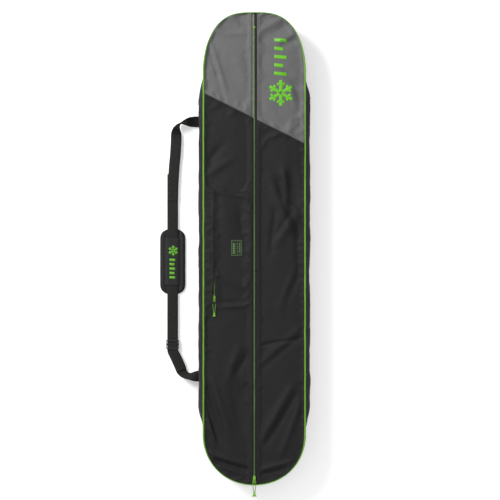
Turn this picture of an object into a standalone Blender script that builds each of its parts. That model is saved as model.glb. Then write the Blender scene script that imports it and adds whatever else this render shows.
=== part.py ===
"""Snowboard bag, lying on its back with its shoulder strap laid out beside it.

Metres, +Z up, +Y towards the nose, +X to the right of someone looking at the front.
The origin is the middle of the back panel's outer face. The bag is a sewn shell: a back
panel, a gusset round the sides, and a front cut in two by a zip down its middle. Each half
of the front turns about the piping at its side when the zip is open.
"""

import math
from dataclasses import dataclass

import bmesh
import bpy
from mathutils import Vector

# Driving dimensions of the bag
BAG_LENGTH = 1.650
BAG_WIDTH = 0.360
BAG_DEPTH = 0.100
NOSE_LENGTH = 0.203
TAIL_LENGTH = 0.180
NOSE_POWERS = (3.07, 1.84)  # superellipse powers across and along the bag
TAIL_POWERS = (2.08, 2.08)
SIDE_BULGE = 0.0135
BULGE_FADE = 0.10

# Cloth, tape and piping
SHEET = 0.0020
PIPING_RADIUS = 0.0030
GUSSET_INSET = 0.0012  # the gusset's outer face, in from the piping's outer edge
BINDING_THICK = 0.0030
BINDING_DEEP = 0.0100

# Clearances
FIT = 0.0003  # between pieces that are sewn to each other
RUN = 0.0005  # round a piece that slides or turns

# The two-colour front
SEAM_FROM_NOSE = 0.369  # where the slanting seam crosses the middle
SEAM_SLOPE = -0.503
TAIL_HINGE_END = 0.225  # the front halves turn from here, measured from the tail's tip

# The main zip
ZIP_COVER_FROM_NOSE = 0.050
SLIDER_FROM_TAIL = 0.0235
STOP_LENGTH = 0.0042

# The pocket on the left half
POCKET_ZIP_INSET = 0.0404
POCKET_LENGTH = 0.386
POCKET_MIDDLE = 0.0065
POCKET_ZIP_END = 0.034  # at each end the zip stays sewn to the front
POCKET_EDGE = 0.0110  # from the main zip's slot to the pocket panel
POCKET_DEPTH = 0.0125
POCKET_OPENING = math.radians(20)  # how far the pocket's front turns
LINER_SEAM = 0.0037  # the inner bag's edge, outside the main zip's slot
LINER = 0.0015
LABEL_SIZE = (0.0394, 0.0565)
LABEL_FROM_EDGE = 0.0228
LABEL_MIDDLE = -0.0035
LABEL_THICK = 0.0010

# The shoulder strap
WEBBING_WIDTH = 0.038
WEBBING_THICK = 0.0020
STRAP_OUT = 0.1086  # from the bag's side to the strap's straight run
STRAP_Z = 0.0075
ANCHOR_HINGE_OUT = 0.0030
ANCHOR_HINGE_Z = 0.0040
UPPER_END_Y = 0.170
LOWER_START_Y = 0.264
PAD_SIZE = (0.092, 0.234)
PAD_MIDDLE = -0.0455
PAD_BINDING = 0.008
PAD_COVER_SIZE = (0.070, 0.166)
PAD_COVER_ROOF = 0.0015
GLIDE_MIDDLE = -0.3386
GLIDE_LENGTH = 0.032
GLIDE_BAR = 0.0025

# Sliders and grips
EYE_BACK = 1 / 6  # the eye's place behind a slider's middle, as a share of its length
MAIN_GRIP = (0.0150, 0.0170, 0.0042)  # length, width and thickness
POCKET_GRIP = (0.0110, 0.0110, 0.0026)

END_STEPS = 15
HALF_WIDTH = BAG_WIDTH / 2
HALF_LENGTH = BAG_LENGTH / 2
FRONT_Z = BAG_DEPTH
PANEL_LOW = FRONT_Z - SHEET
GUSSET_TOP = FRONT_Z - PIPING_RADIUS - FIT
FRONT_INSET = 2 * PIPING_RADIUS + RUN
INNER_INSET = GUSSET_INSET + SHEET + FIT
NOSE_START = HALF_LENGTH - NOSE_LENGTH
TAIL_START = TAIL_LENGTH - HALF_LENGTH
TAIL_CUT = TAIL_HINGE_END - HALF_LENGTH
ZIP_COVER_Y = HALF_LENGTH - ZIP_COVER_FROM_NOSE
SLIDER_Y = SLIDER_FROM_TAIL - HALF_LENGTH
STRAP_X = -(HALF_WIDTH + STRAP_OUT)

GREY = (0.150, 0.150, 0.153)
BLACK = (0.031, 0.031, 0.033)
LIME = (0.180, 0.520, 0.018)
FINISHES = {
    "grey_cloth": (GREY, 0.80, 0.0),
    "black_cloth": (BLACK, 0.82, 0.0),
    "lining": ((0.020, 0.020, 0.022), 0.88, 0.0),
    "lime_piping": (LIME, 0.55, 0.0),
    "lime_coil": ((0.150, 0.420, 0.030), 0.45, 0.0),
    "lime_metal": ((0.190, 0.560, 0.020), 0.38, 0.6),
    "lime_cord": (LIME, 0.70, 0.0),
    "black_webbing": ((0.026, 0.026, 0.024), 0.85, 0.0),
    "pad_cloth": ((0.036, 0.036, 0.037), 0.80, 0.0),
    "black_plastic": ((0.020, 0.020, 0.020), 0.35, 0.0),
    "label_weave": ((0.045, 0.050, 0.043), 0.75, 0.0),
}


@dataclass
class Zip:
    """A coil zip: where it runs, and the sizes of its chain, slider and pull."""

    x: float
    coil_width: float
    coil_height: float
    coil_gap: float
    tape_width: float
    tape_thick: float
    plate: float
    flange: float
    slider_length: float
    cord: float
    eye_lift: float

    @property
    def middle(self):
        return PANEL_LOW - FIT - self.tape_thick / 2

    @property
    def coil_side(self):
        return self.coil_gap / 2 + self.coil_width

    @property
    def slider_side(self):
        return self.coil_side + 2 * RUN + self.flange

    @property
    def slot(self):
        """Half the gap between the cloth edges on each side of the slider."""
        return self.slider_side + 2 * RUN

    @property
    def slider_top(self):
        return self.middle + self.coil_height / 2 + FIT + self.plate

    @property
    def eye(self):
        """Height of the middle of the slider's eye, where the pull cord turns."""
        return self.slider_top + self.eye_lift + self.cord / 2


MAIN_ZIP = Zip(
    x=0.0,
    coil_width=0.0037,
    coil_height=0.0030,
    coil_gap=0.0016,
    tape_width=0.0160,
    tape_thick=0.0012,
    plate=0.0015,
    flange=0.0014,
    slider_length=0.0240,
    cord=0.0025,
    eye_lift=PIPING_RADIUS + 2 * FIT,
)
POCKET_ZIP = Zip(
    x=POCKET_ZIP_INSET - HALF_WIDTH,
    coil_width=0.0028,
    coil_height=0.0022,
    coil_gap=0.0014,
    tape_width=0.0090,
    tape_thick=0.0010,
    plate=0.0012,
    flange=0.0011,
    slider_length=0.0190,
    cord=0.0020,
    eye_lift=2 * FIT,
)
POCKET_TOP = POCKET_MIDDLE + POCKET_LENGTH / 2
POCKET_BOTTOM = POCKET_MIDDLE - POCKET_LENGTH / 2
MOUTH_TOP = POCKET_TOP - POCKET_ZIP_END
MOUTH_BOTTOM = POCKET_BOTTOM + POCKET_ZIP_END
POCKET_HINGE_X = -(MAIN_ZIP.slot + POCKET_EDGE)
POCKET_HINGE_Z = FRONT_Z - SHEET / 2
WINDOW_RIGHT = POCKET_HINGE_X + SHEET / 2 * math.sin(POCKET_OPENING) + RUN
POCKET_SLIDER_Y = POCKET_BOTTOM + STOP_LENGTH + FIT + POCKET_ZIP.slider_length / 2


# ---------------------------------------------------------------- making meshes


def clear_scene():
    for old in list(bpy.data.objects):
        bpy.data.objects.remove(old, do_unlink=True)


def finish_material(name, finish):
    colour, roughness, metallic = FINISHES[finish]
    material = bpy.data.materials.new(name + "_" + finish)
    material.use_nodes = True
    shader = material.node_tree.nodes["Principled BSDF"]
    shader.inputs["Base Color"].default_value = (*colour, 1.0)
    shader.inputs["Roughness"].default_value = roughness
    shader.inputs["Metallic"].default_value = metallic
    material.diffuse_color = (*colour, 1.0)
    return material


def sweep(sections, closed=False):
    """A solid through a row of loops that have the same number of points."""
    shape = bmesh.new()
    rows = [[shape.verts.new(point) for point in section] for section in sections]
    count = len(rows[0])
    pairs = list(zip(rows, rows[1:]))
    if closed:
        pairs.append((rows[-1], rows[0]))
    else:
        shape.faces.new(rows[0])
        shape.faces.new(rows[-1])
    for here, there in pairs:
        for k in range(count):
            after = (k + 1) % count
            shape.faces.new((here[k], here[after], there[after], there[k]))
    bmesh.ops.recalc_face_normals(shape, faces=shape.faces)
    return shape


def plate(outline, low, high):
    """A flat piece with this outline in X and Y, between two heights."""
    return sweep([[Vector((x, y, z)) for x, y in outline] for z in (low, high)])


def bar(profile, start, end):
    """A straight piece along Y with this profile in X and Z."""
    return sweep([[Vector((x, y, z)) for x, z in profile] for y in (start, end)])


def across(profile, start, end):
    """A straight piece along X with this profile in Y and Z."""
    return sweep([[Vector((x, y, z)) for y, z in profile] for x in (start, end)])


def box_outline(left, right, low, high):
    return [(left, low), (right, low), (right, high), (left, high)]


class Body:
    """Pieces that move together, held by an empty on their joint's axis."""

    def __init__(self, name, place=(0, 0, 0), parent=None):
        self.place = Vector(place)
        self.empty = bpy.data.objects.new(name, None)
        self.empty.empty_display_size = 0.03
        bpy.context.scene.collection.objects.link(self.empty)
        if parent:
            self.empty.parent = parent.empty
            self.empty.location = self.place - parent.place
        else:
            self.empty.location = self.place

    def add(self, name, data, finish, smooth=False):
        if isinstance(data, bmesh.types.BMesh):
            mesh = bpy.data.meshes.new(name)
            data.to_mesh(mesh)
            data.free()
            data = mesh
            if smooth:
                data.shade_smooth()
                data.set_sharp_from_angle(angle=math.radians(40))
        piece = bpy.data.objects.new(name, data)
        piece.location = -self.place
        piece.parent = self.empty
        data.materials.append(finish_material(name, finish))
        bpy.context.scene.collection.objects.link(piece)
        return piece

    def helper(self, name, data):
        """A shape that only cuts or adds to another one."""
        piece = self.add(name, data, "lining")
        piece.hide_render = True
        piece.display_type = "WIRE"
        return piece


def combine(piece, other, operation):
    step = piece.modifiers.new(operation.lower(), "BOOLEAN")
    step.operation = operation
    step.solver = "EXACT"
    step.object = other


# ---------------------------------------------------------------- the bag's outline


def end_curve(inset, length, powers):
    """Right half of one end, from the side to the tip, as (x, distance past the start)."""
    wide, long = powers
    points = []
    for step in range(END_STEPS + 1):
        turn = math.pi / 2 * step / END_STEPS
        x = 0.0 if step == END_STEPS else math.cos(turn) ** (2 / wide)
        y = math.sin(turn) ** (2 / long)
        out = Vector((wide / HALF_WIDTH * x ** (wide - 1), long / length * y ** (long - 1)))
        out.normalize()
        points.append((HALF_WIDTH * x - inset * out.x, length * y - inset * out.y))
    return points


def nose_curve(inset):
    return [(x, NOSE_START + y) for x, y in end_curve(inset, NOSE_LENGTH, NOSE_POWERS)]


def tail_curve(inset):
    return [(x, TAIL_START - y) for x, y in end_curve(inset, TAIL_LENGTH, TAIL_POWERS)]


def mirrored(points):
    return [(-x, y) for x, y in reversed(points)]


def outline(inset):
    """The whole way round: up the right side, over the nose, down the left side."""
    nose = nose_curve(inset)
    tail = list(reversed(tail_curve(inset)))
    return tail + nose + mirrored(nose)[1:] + mirrored(tail)[:-1]


def cut_at(points, x):
    """The part of a right-hand curve that is further out than x, ending exactly at x."""
    kept = [point for point in points if point[0] > x + FIT]
    (x0, y0), (x1, y1) = kept[-1], points[len(kept)]
    kept.append((x, y0 + (y1 - y0) * (x0 - x) / (x0 - x1)))
    return kept


def seam(x):
    """Y of the slanting seam between the two colours."""
    return HALF_LENGTH - SEAM_FROM_NOSE + SEAM_SLOPE * x


def ring(insets_and_heights):
    """A closed ring round the bag whose section has these corners."""
    loops = [[Vector((x, y, z)) for x, y in outline(inset)] for inset, z in insets_and_heights]
    return sweep(list(zip(*loops)), closed=True)


# ---------------------------------------------------------------- the shell


def fade(value):
    """0 to 1 with level ends."""
    value = min(max(value, 0.0), 1.0)
    return value * value * (3 - 2 * value)


def side_gusset(side):
    """One long side: a strip that bulges out between its two seams."""
    start, end = TAIL_START + FIT, NOSE_START - FIT
    near_end = BULGE_FADE / 4
    stations = [start + near_end * k for k in range(5)]
    stations += [start + (end - start) * k / 4 for k in range(1, 4)]
    stations += [end - near_end * k for k in range(4, -1, -1)]
    levels = 8
    sections = []
    for y in stations:
        swell = SIDE_BULGE * fade((y - start) / BULGE_FADE) * fade((end - y) / BULGE_FADE)
        outer = []
        for k in range(levels + 1):
            bulge = swell * math.sin(math.pi * k / levels)
            outer.append((HALF_WIDTH - GUSSET_INSET + bulge, GUSSET_TOP * k / levels))
        inner = [(x - SHEET, z) for x, z in reversed(outer)]
        sections.append([Vector((side * x, y, z)) for x, z in outer + inner])
    return sweep(sections)


def end_gusset(curve):
    """The strip round the nose or the tail, from one side to the other."""
    sections = []
    outer = curve(GUSSET_INSET)
    inner = curve(GUSSET_INSET + SHEET)
    for (x0, y0), (x1, y1) in zip(outer + mirrored(outer)[1:], inner + mirrored(inner)[1:]):
        corners = ((x0, y0, 0), (x0, y0, GUSSET_TOP), (x1, y1, GUSSET_TOP), (x1, y1, 0))
        sections.append([Vector(corner) for corner in corners])
    return sweep(sections)


def piping():
    sides = 8
    corners = []
    for k in range(sides):
        turn = 2 * math.pi * k / sides
        corners.append((PIPING_RADIUS * (1 - math.cos(turn)), FRONT_Z + PIPING_RADIUS * math.sin(turn)))
    return ring(corners)


def binding(low):
    """The tape that wraps the seam allowances inside the bag."""
    inner = INNER_INSET + BINDING_THICK
    high = low + BINDING_DEEP
    return ring([(INNER_INSET, low), (inner, low), (inner, high), (INNER_INSET, high)])


def nose_panel(side):
    """The grey cloth on one side of the zip, which closes over the zip's end."""
    slot, edge = MAIN_ZIP.slot, HALF_WIDTH - FRONT_INSET
    points = [(slot, seam(side * slot) + FIT), (edge, seam(side * edge) + FIT)]
    points += nose_curve(FRONT_INSET)[:-1]
    points += [(FIT / 2, nose_curve(FRONT_INSET)[-1][1])]
    points += [(FIT / 2, ZIP_COVER_Y), (slot, ZIP_COVER_Y)]
    return plate([(side * x, y) for x, y in points], PANEL_LOW, FRONT_Z)


def tail_panel(side):
    slot, edge = MAIN_ZIP.slot, HALF_WIDTH - FRONT_INSET
    points = [(slot, TAIL_CUT - FIT), (edge, TAIL_CUT - FIT)]
    points += cut_at(tail_curve(FRONT_INSET), slot)
    return plate([(side * x, y) for x, y in points], PANEL_LOW, FRONT_Z)


def front_panel(side):
    """The black cloth that turns about the piping."""
    slot, edge = MAIN_ZIP.slot, HALF_WIDTH - FRONT_INSET
    points = [(slot, TAIL_CUT), (edge, TAIL_CUT)]
    points += [(edge, seam(side * edge)), (slot, seam(side * slot))]
    return plate([(side * x, y) for x, y in points], PANEL_LOW, FRONT_Z)


# ---------------------------------------------------------------- zips


def stringer(closure, side, start, end):
    """One half of a zip: the coil with its tape, a straight stretch along Y."""
    near, far = closure.coil_gap / 2, closure.coil_side
    tape_end = far + closure.tape_width
    coil, tape = closure.coil_height / 2, closure.tape_thick / 2
    profile = [(near, -coil), (far, -coil), (far, -tape), (tape_end, -tape)]
    profile += [(x, -z) for x, z in reversed(profile)]
    placed = [(closure.x + side * x, closure.middle + z) for x, z in profile]
    return bar(placed, start, end)


def end_stop(closure, start, end):
    half = closure.coil_side
    low = closure.middle - closure.coil_height / 2
    high = closure.middle + closure.coil_height / 2
    return bar(box_outline(closure.x - half, closure.x + half, low, high), start, end)


def slider_body(closure, y):
    """Two plates joined by a post, with lips that keep the coils in and let the tapes out."""
    outer, inner = closure.slider_side, closure.coil_side + 2 * RUN
    post = closure.coil_gap / 2 - FIT
    plate_in = closure.coil_height / 2 + FIT
    plate_out = plate_in + closure.plate
    lip = closure.tape_thick / 2 + FIT
    half = [(outer, plate_out), (outer, lip), (inner, lip), (inner, plate_in), (post, plate_in)]
    half += [(x, -z) for x, z in reversed(half)]
    whole = half + [(-x, z) for x, z in reversed(half)]
    placed = [(closure.x + x, closure.middle + z) for x, z in whole]
    reach = closure.slider_length / 2
    return bar(placed, y - reach, y + reach)


def slider_eye(closure, y):
    """The arch on the top plate that the pull cord goes through."""
    hole = closure.cord / 2 + RUN + FIT
    wall = closure.plate
    foot, crown = closure.slider_top - closure.plate / 2, closure.eye + hole
    profile = [(-hole, foot), (-hole, crown), (hole, crown), (hole, foot)]
    profile += [(hole + wall, foot), (hole + wall, crown + wall)]
    profile += [(-hole - wall, crown + wall), (-hole - wall, foot)]
    half = closure.cord * 0.75
    return across([(y + a, z) for a, z in profile], closure.x - half, closure.x + half)


def eye_y(closure, slider_y):
    return slider_y - closure.slider_length * EYE_BACK


def smooth_points(route, steps):
    """Points on a smooth curve through the route's own points."""
    places = [Vector(point) for point in route]
    places = [2 * places[0] - places[1]] + places + [2 * places[-1] - places[-2]]
    found = []
    for before, start, end, after in zip(places, places[1:], places[2:], places[3:]):
        for step in range(steps):
            t = step / steps
            curve = 2 * start + (end - before) * t
            curve += (2 * before - 5 * start + 4 * end - after) * t**2
            curve += (3 * start - before - 3 * end + after) * t**3
            found.append(curve / 2)
    return found + [places[-2]]


def cord_curve(name, route, diameter, steps):
    curve = bpy.data.curves.new(name, "CURVE")
    curve.dimensions = "3D"
    curve.bevel_depth = diameter / 2
    curve.bevel_resolution = 2
    curve.use_fill_caps = True
    points = smooth_points(route, steps)
    spline = curve.splines.new("POLY")
    spline.points.add(len(points) - 1)
    for spot, place in zip(spline.points, points):
        spot.co = (*place, 1)
    return curve


# Pull cords as (x, y) from the middle of the eye: down one leg, through the eye, back up.
MAIN_PULL_LEG = [(0.0022, -0.0440), (0.0036, -0.0300), (0.0052, -0.0160), (0.0052, -0.0060)]
MAIN_PULL_BEND = [(0.0037, -0.0018), (0.0000, 0.0000)]
POCKET_PULL_LEG = [(0.0018, -0.0500), (0.0030, -0.0360), (0.0046, -0.0180), (0.0044, -0.0055)]
POCKET_PULL_BEND = [(0.0031, -0.0016), (0.0000, 0.0000)]


def pull_route(closure, y, leg, bend):
    half = leg + bend
    there = [(closure.x - x, y + along, closure.eye) for x, along in half]
    back = [(closure.x + x, y + along, closure.eye) for x, along in reversed(half[:-1])]
    return there + back


def grip(closure, y, start, length, width, thick):
    """A flat wedge with a notched end, moulded on the cord's two ends."""
    near, far = width * 0.42, width
    side = [(near, 0.0), (near * 1.15, -0.35), (far, -1.0), (far * 0.42, -0.88)]
    half = [(closure.x + x / 2, y + start + along * length) for x, along in side]
    other = [(2 * closure.x - x, along) for x, along in reversed(half)]
    return plate(half + other, closure.eye - thick / 2, closure.eye + thick / 2)


# ---------------------------------------------------------------- the pocket


def pocket_window():
    """What is cut from the left half: the pocket's opening, with the zip's two ends."""
    left, right = POCKET_ZIP.x - POCKET_ZIP.slot, POCKET_ZIP.x + POCKET_ZIP.slot
    points = [(left, POCKET_BOTTOM - FIT), (right, POCKET_BOTTOM - FIT)]
    points += [(right, MOUTH_BOTTOM - FIT), (WINDOW_RIGHT, MOUTH_BOTTOM - FIT)]
    points += [(WINDOW_RIGHT, MOUTH_TOP + FIT), (right, MOUTH_TOP + FIT)]
    points += [(right, POCKET_TOP + FIT), (left, POCKET_TOP + FIT)]
    return plate(points, PANEL_LOW - SHEET, FRONT_Z + SHEET)


def pocket_cloth():
    left = POCKET_ZIP.x + POCKET_ZIP.slot
    shape = box_outline(left, POCKET_HINGE_X, MOUTH_BOTTOM, MOUTH_TOP)
    return plate(shape, PANEL_LOW, FRONT_Z)


def liner_outline(wall):
    """The pocket's inner bag, seen from the front, this far in from its outer face."""
    tape = POCKET_ZIP.coil_side + POCKET_ZIP.tape_width
    left = POCKET_ZIP.x - tape + wall
    right = -MAIN_ZIP.slot - LINER_SEAM - wall
    return box_outline(left, right, POCKET_BOTTOM - STOP_LENGTH + wall, POCKET_TOP + STOP_LENGTH - wall)


def liner_rim():
    tape = max(MAIN_ZIP.tape_thick, POCKET_ZIP.tape_thick)
    return PANEL_LOW - FIT - tape - FIT


def label():
    width, height = LABEL_SIZE
    right = POCKET_HINGE_X - LABEL_FROM_EDGE
    low = LABEL_MIDDLE + POCKET_MIDDLE - height / 2
    shape = box_outline(right - width, right, low, low + height)
    return plate(shape, FRONT_Z + FIT, FRONT_Z + FIT + LABEL_THICK)


# ---------------------------------------------------------------- the shoulder strap

# Routes as (out from the bag's side, y, z, bank in degrees); bank lifts the outer edge.
UPPER_ROUTE = [
    (0.0022, 0.4490, 0.0040, 0),
    (0.0200, 0.4495, 0.0055, 4),
    (0.0450, 0.4480, 0.0130, 28),
    (0.0660, 0.4455, 0.0200, 66),
    (0.0795, 0.4425, 0.0215, 86),
    (0.0885, 0.4340, 0.0207, 72),
    (0.0940, 0.4200, 0.0165, 42),
    (0.0958, 0.4030, 0.0110, 12),
    (0.0964, 0.3800, 0.0098, 0),
    (0.0990, 0.3350, 0.0098, 0),
    (0.1030, 0.2900, 0.0098, 0),
    (0.1058, 0.2450, 0.0098, 0),
    (0.1076, 0.2050, 0.0098, 0),
    (0.1082, UPPER_END_Y, 0.0098, 0),
]
LOWER_ROUTE = [
    (STRAP_OUT, LOWER_START_Y, STRAP_Z, 0),
    (STRAP_OUT, 0.100, STRAP_Z, 0),
    (STRAP_OUT, -0.200, STRAP_Z, 0),
    (STRAP_OUT, -0.345, STRAP_Z, 0),
    (STRAP_OUT - 0.0010, -0.3620, STRAP_Z, 0),
    (0.0945, -0.3900, STRAP_Z, 3),
    (0.0820, -0.4180, 0.0085, 10),
    (0.0775, -0.4300, 0.0105, 20),
    (0.0690, -0.4405, 0.0145, 38),
    (0.0585, -0.4475, 0.0175, 52),
    (0.0470, -0.4510, 0.0180, 54),
    (0.0330, -0.4515, 0.0150, 34),
    (0.0180, -0.4505, 0.0085, 10),
    (0.0022, -0.4505, 0.0040, 0),
]
FREE_END_ROUTE = [
    (STRAP_OUT - 0.0004, -0.3560, STRAP_Z + 0.0035, 0),
    (STRAP_OUT - 0.0016, -0.3640, STRAP_Z + 0.0035, 0),
    (0.0945, -0.3900, STRAP_Z + 0.0035, 3),
    (0.0820, -0.4180, 0.0122, 10),
    (0.0775, -0.4290, 0.0144, 20),
]


def webbing(route, steps):
    """A flat band along a route, turned on its length by the route's bank."""
    places = smooth_points([(-(HALF_WIDTH + out), y, z) for out, y, z, bank in route], steps)
    banks = smooth_points([(math.radians(bank), 0, 0) for out, y, z, bank in route], steps)
    sections = []
    for k, (place, bank) in enumerate(zip(places, banks)):
        ahead = places[min(k + 1, len(places) - 1)] - places[max(k - 1, 0)]
        outer = Vector((ahead.y, -ahead.x, 0)).normalized()
        wide = outer * math.cos(bank.x) + Vector((0, 0, 1)) * math.sin(bank.x)
        up = ahead.cross(wide).normalized() * WEBBING_THICK / 2
        wide *= WEBBING_WIDTH / 2
        sections.append([place - wide - up, place + wide - up, place + wide + up, place - wide + up])
    return sweep(sections)


def pad_outline(inset):
    """A long pad with well-rounded corners, as a superellipse at each end."""
    half, reach, steps = PAD_SIZE[0] / 2 - inset, PAD_SIZE[1] / 2 - inset, 7
    end = PAD_SIZE[0] * 0.42 - inset
    quarter = []
    for k in range(steps + 1):
        turn = math.pi / 2 * k / steps
        x = 0.0 if k == steps else half * math.cos(turn) ** 0.8
        quarter.append((x, reach - end + end * math.sin(turn) ** 0.8))
    upper = quarter + mirrored(quarter)[1:]
    lower = [(-x, -y) for x, y in upper]
    return [(STRAP_X + x, PAD_MIDDLE + y) for x, y in upper + lower]


def pad_cover():
    """The patch over the webbing, with a tunnel under it that the webbing runs through."""
    half, tunnel = PAD_COVER_SIZE[0] / 2, WEBBING_WIDTH / 2 + 2 * RUN
    foot = STRAP_Z - WEBBING_THICK / 2 - RUN + FIT
    under = STRAP_Z + WEBBING_THICK / 2 + RUN
    side = [(half, under + PAD_COVER_ROOF), (half, foot), (tunnel, foot), (tunnel, under)]
    profile = side + [(-x, z) for x, z in reversed(side)]
    reach = PAD_COVER_SIZE[1] / 2
    return bar([(STRAP_X + x, z) for x, z in profile], PAD_MIDDLE - reach, PAD_MIDDLE + reach)


def glide_bar(y, length, low, high):
    half = WEBBING_WIDTH / 2 + 2 * RUN + GLIDE_BAR
    return bar(box_outline(STRAP_X - half, STRAP_X + half, low, high), y - length / 2, y + length / 2)


# ---------------------------------------------------------------- assembly


def build_shell():
    shell = Body("shell")
    shell.add("back_panel", plate(outline(INNER_INSET), 0, SHEET), "black_cloth")
    shell.add("gusset_left", side_gusset(-1), "black_cloth", smooth=True)
    shell.add("gusset_right", side_gusset(1), "black_cloth", smooth=True)
    shell.add("gusset_nose", end_gusset(nose_curve), "black_cloth", smooth=True)
    shell.add("gusset_tail", end_gusset(tail_curve), "black_cloth", smooth=True)
    shell.add("front_piping", piping(), "lime_piping", smooth=True)
    shell.add("front_seam_binding", binding(GUSSET_TOP - 2 * FIT - BINDING_DEEP), "black_webbing")
    shell.add("back_seam_binding", binding(SHEET + FIT), "black_webbing")
    nose_zip = (seam(0) + FIT, ZIP_COVER_Y - STOP_LENGTH - 2 * FIT)
    tail_zip = (SLIDER_Y - MAIN_ZIP.slider_length / 2, TAIL_CUT - FIT)
    for side, word in ((-1, "left"), (1, "right")):
        shell.add("nose_panel_" + word, nose_panel(side), "grey_cloth")
        shell.add("tail_panel_" + word, tail_panel(side), "black_cloth")
        shell.add("zip_nose_" + word, stringer(MAIN_ZIP, side, *nose_zip), "lime_coil")
        shell.add("zip_tail_" + word, stringer(MAIN_ZIP, side, *tail_zip), "lime_coil")
    nose_end = nose_zip[1] + FIT
    tail_end = tail_zip[0] - FIT
    shell.add("zip_nose_stop", end_stop(MAIN_ZIP, nose_end, nose_end + STOP_LENGTH), "lime_metal")
    shell.add("zip_tail_stop", end_stop(MAIN_ZIP, tail_end - STOP_LENGTH, tail_end), "lime_metal")
    return shell


def build_half(shell, side, word):
    """One half of the front with its half of the main zip."""
    hinge = (side * (HALF_WIDTH - PIPING_RADIUS), 0, FRONT_Z)
    half = Body("front_hinge_" + word, hinge, shell)
    panel = half.add("front_panel_" + word, front_panel(side), "black_cloth")
    zip_span = (TAIL_CUT, seam(0))
    half.add("zip_middle_" + word, stringer(MAIN_ZIP, side, *zip_span), "lime_coil")
    return half, panel


def build_pocket(half, panel):
    combine(panel, half.helper("pocket_window_shape", pocket_window()), "DIFFERENCE")
    liner = half.add(
        "pocket_liner",
        plate(liner_outline(0), liner_rim() - POCKET_DEPTH, liner_rim()),
        "lining",
    )
    hollow = plate(liner_outline(LINER), liner_rim() - POCKET_DEPTH + LINER, liner_rim() + SHEET)
    combine(liner, half.helper("pocket_hollow_shape", hollow), "DIFFERENCE")
    bottom = POCKET_BOTTOM + STOP_LENGTH + FIT
    top = POCKET_TOP - STOP_LENGTH - FIT
    whole, low, high = (bottom, top), (bottom, MOUTH_BOTTOM - FIT), (MOUTH_TOP + FIT, top)
    half.add("pocket_zip_outer", stringer(POCKET_ZIP, -1, *whole), "lime_coil")
    half.add("pocket_zip_low_end", stringer(POCKET_ZIP, 1, *low), "lime_coil")
    half.add("pocket_zip_high_end", stringer(POCKET_ZIP, 1, *high), "lime_coil")
    half.add("pocket_low_stop", end_stop(POCKET_ZIP, POCKET_BOTTOM, bottom - FIT), "lime_metal")
    half.add("pocket_high_stop", end_stop(POCKET_ZIP, top + FIT, POCKET_TOP), "lime_metal")

    flap = Body("pocket_hinge", (POCKET_HINGE_X, POCKET_MIDDLE, POCKET_HINGE_Z), half)
    flap.add("pocket_panel", pocket_cloth(), "black_cloth")
    flap.add("pocket_zip_inner", stringer(POCKET_ZIP, 1, MOUTH_BOTTOM, MOUTH_TOP), "lime_coil")
    flap.add("pocket_label", label(), "label_weave")


def build_slider(parent, closure, y, name, route, grip_size):
    """A zip slider, with the cord and the grip that hang on its eye."""
    slide = Body(name + "_slide", (closure.x, y, closure.middle), parent)
    body = slide.add(name + "_slider", slider_body(closure, y), "lime_metal")
    eye = eye_y(closure, y)
    combine(body, slide.helper(name + "_eye_shape", slider_eye(closure, eye)), "UNION")
    turn = Body(name + "_pull_hinge", (closure.x, eye, closure.eye), slide)
    leg, bend = route
    cord = cord_curve(name + "_pull_cord", pull_route(closure, eye, leg, bend), closure.cord, 3)
    turn.add(name + "_pull_cord", cord, "lime_cord")
    wedge = grip(closure, eye, leg[0][1] - FIT, *grip_size)
    turn.add(name + "_pull_grip", wedge, "lime_cord")


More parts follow.
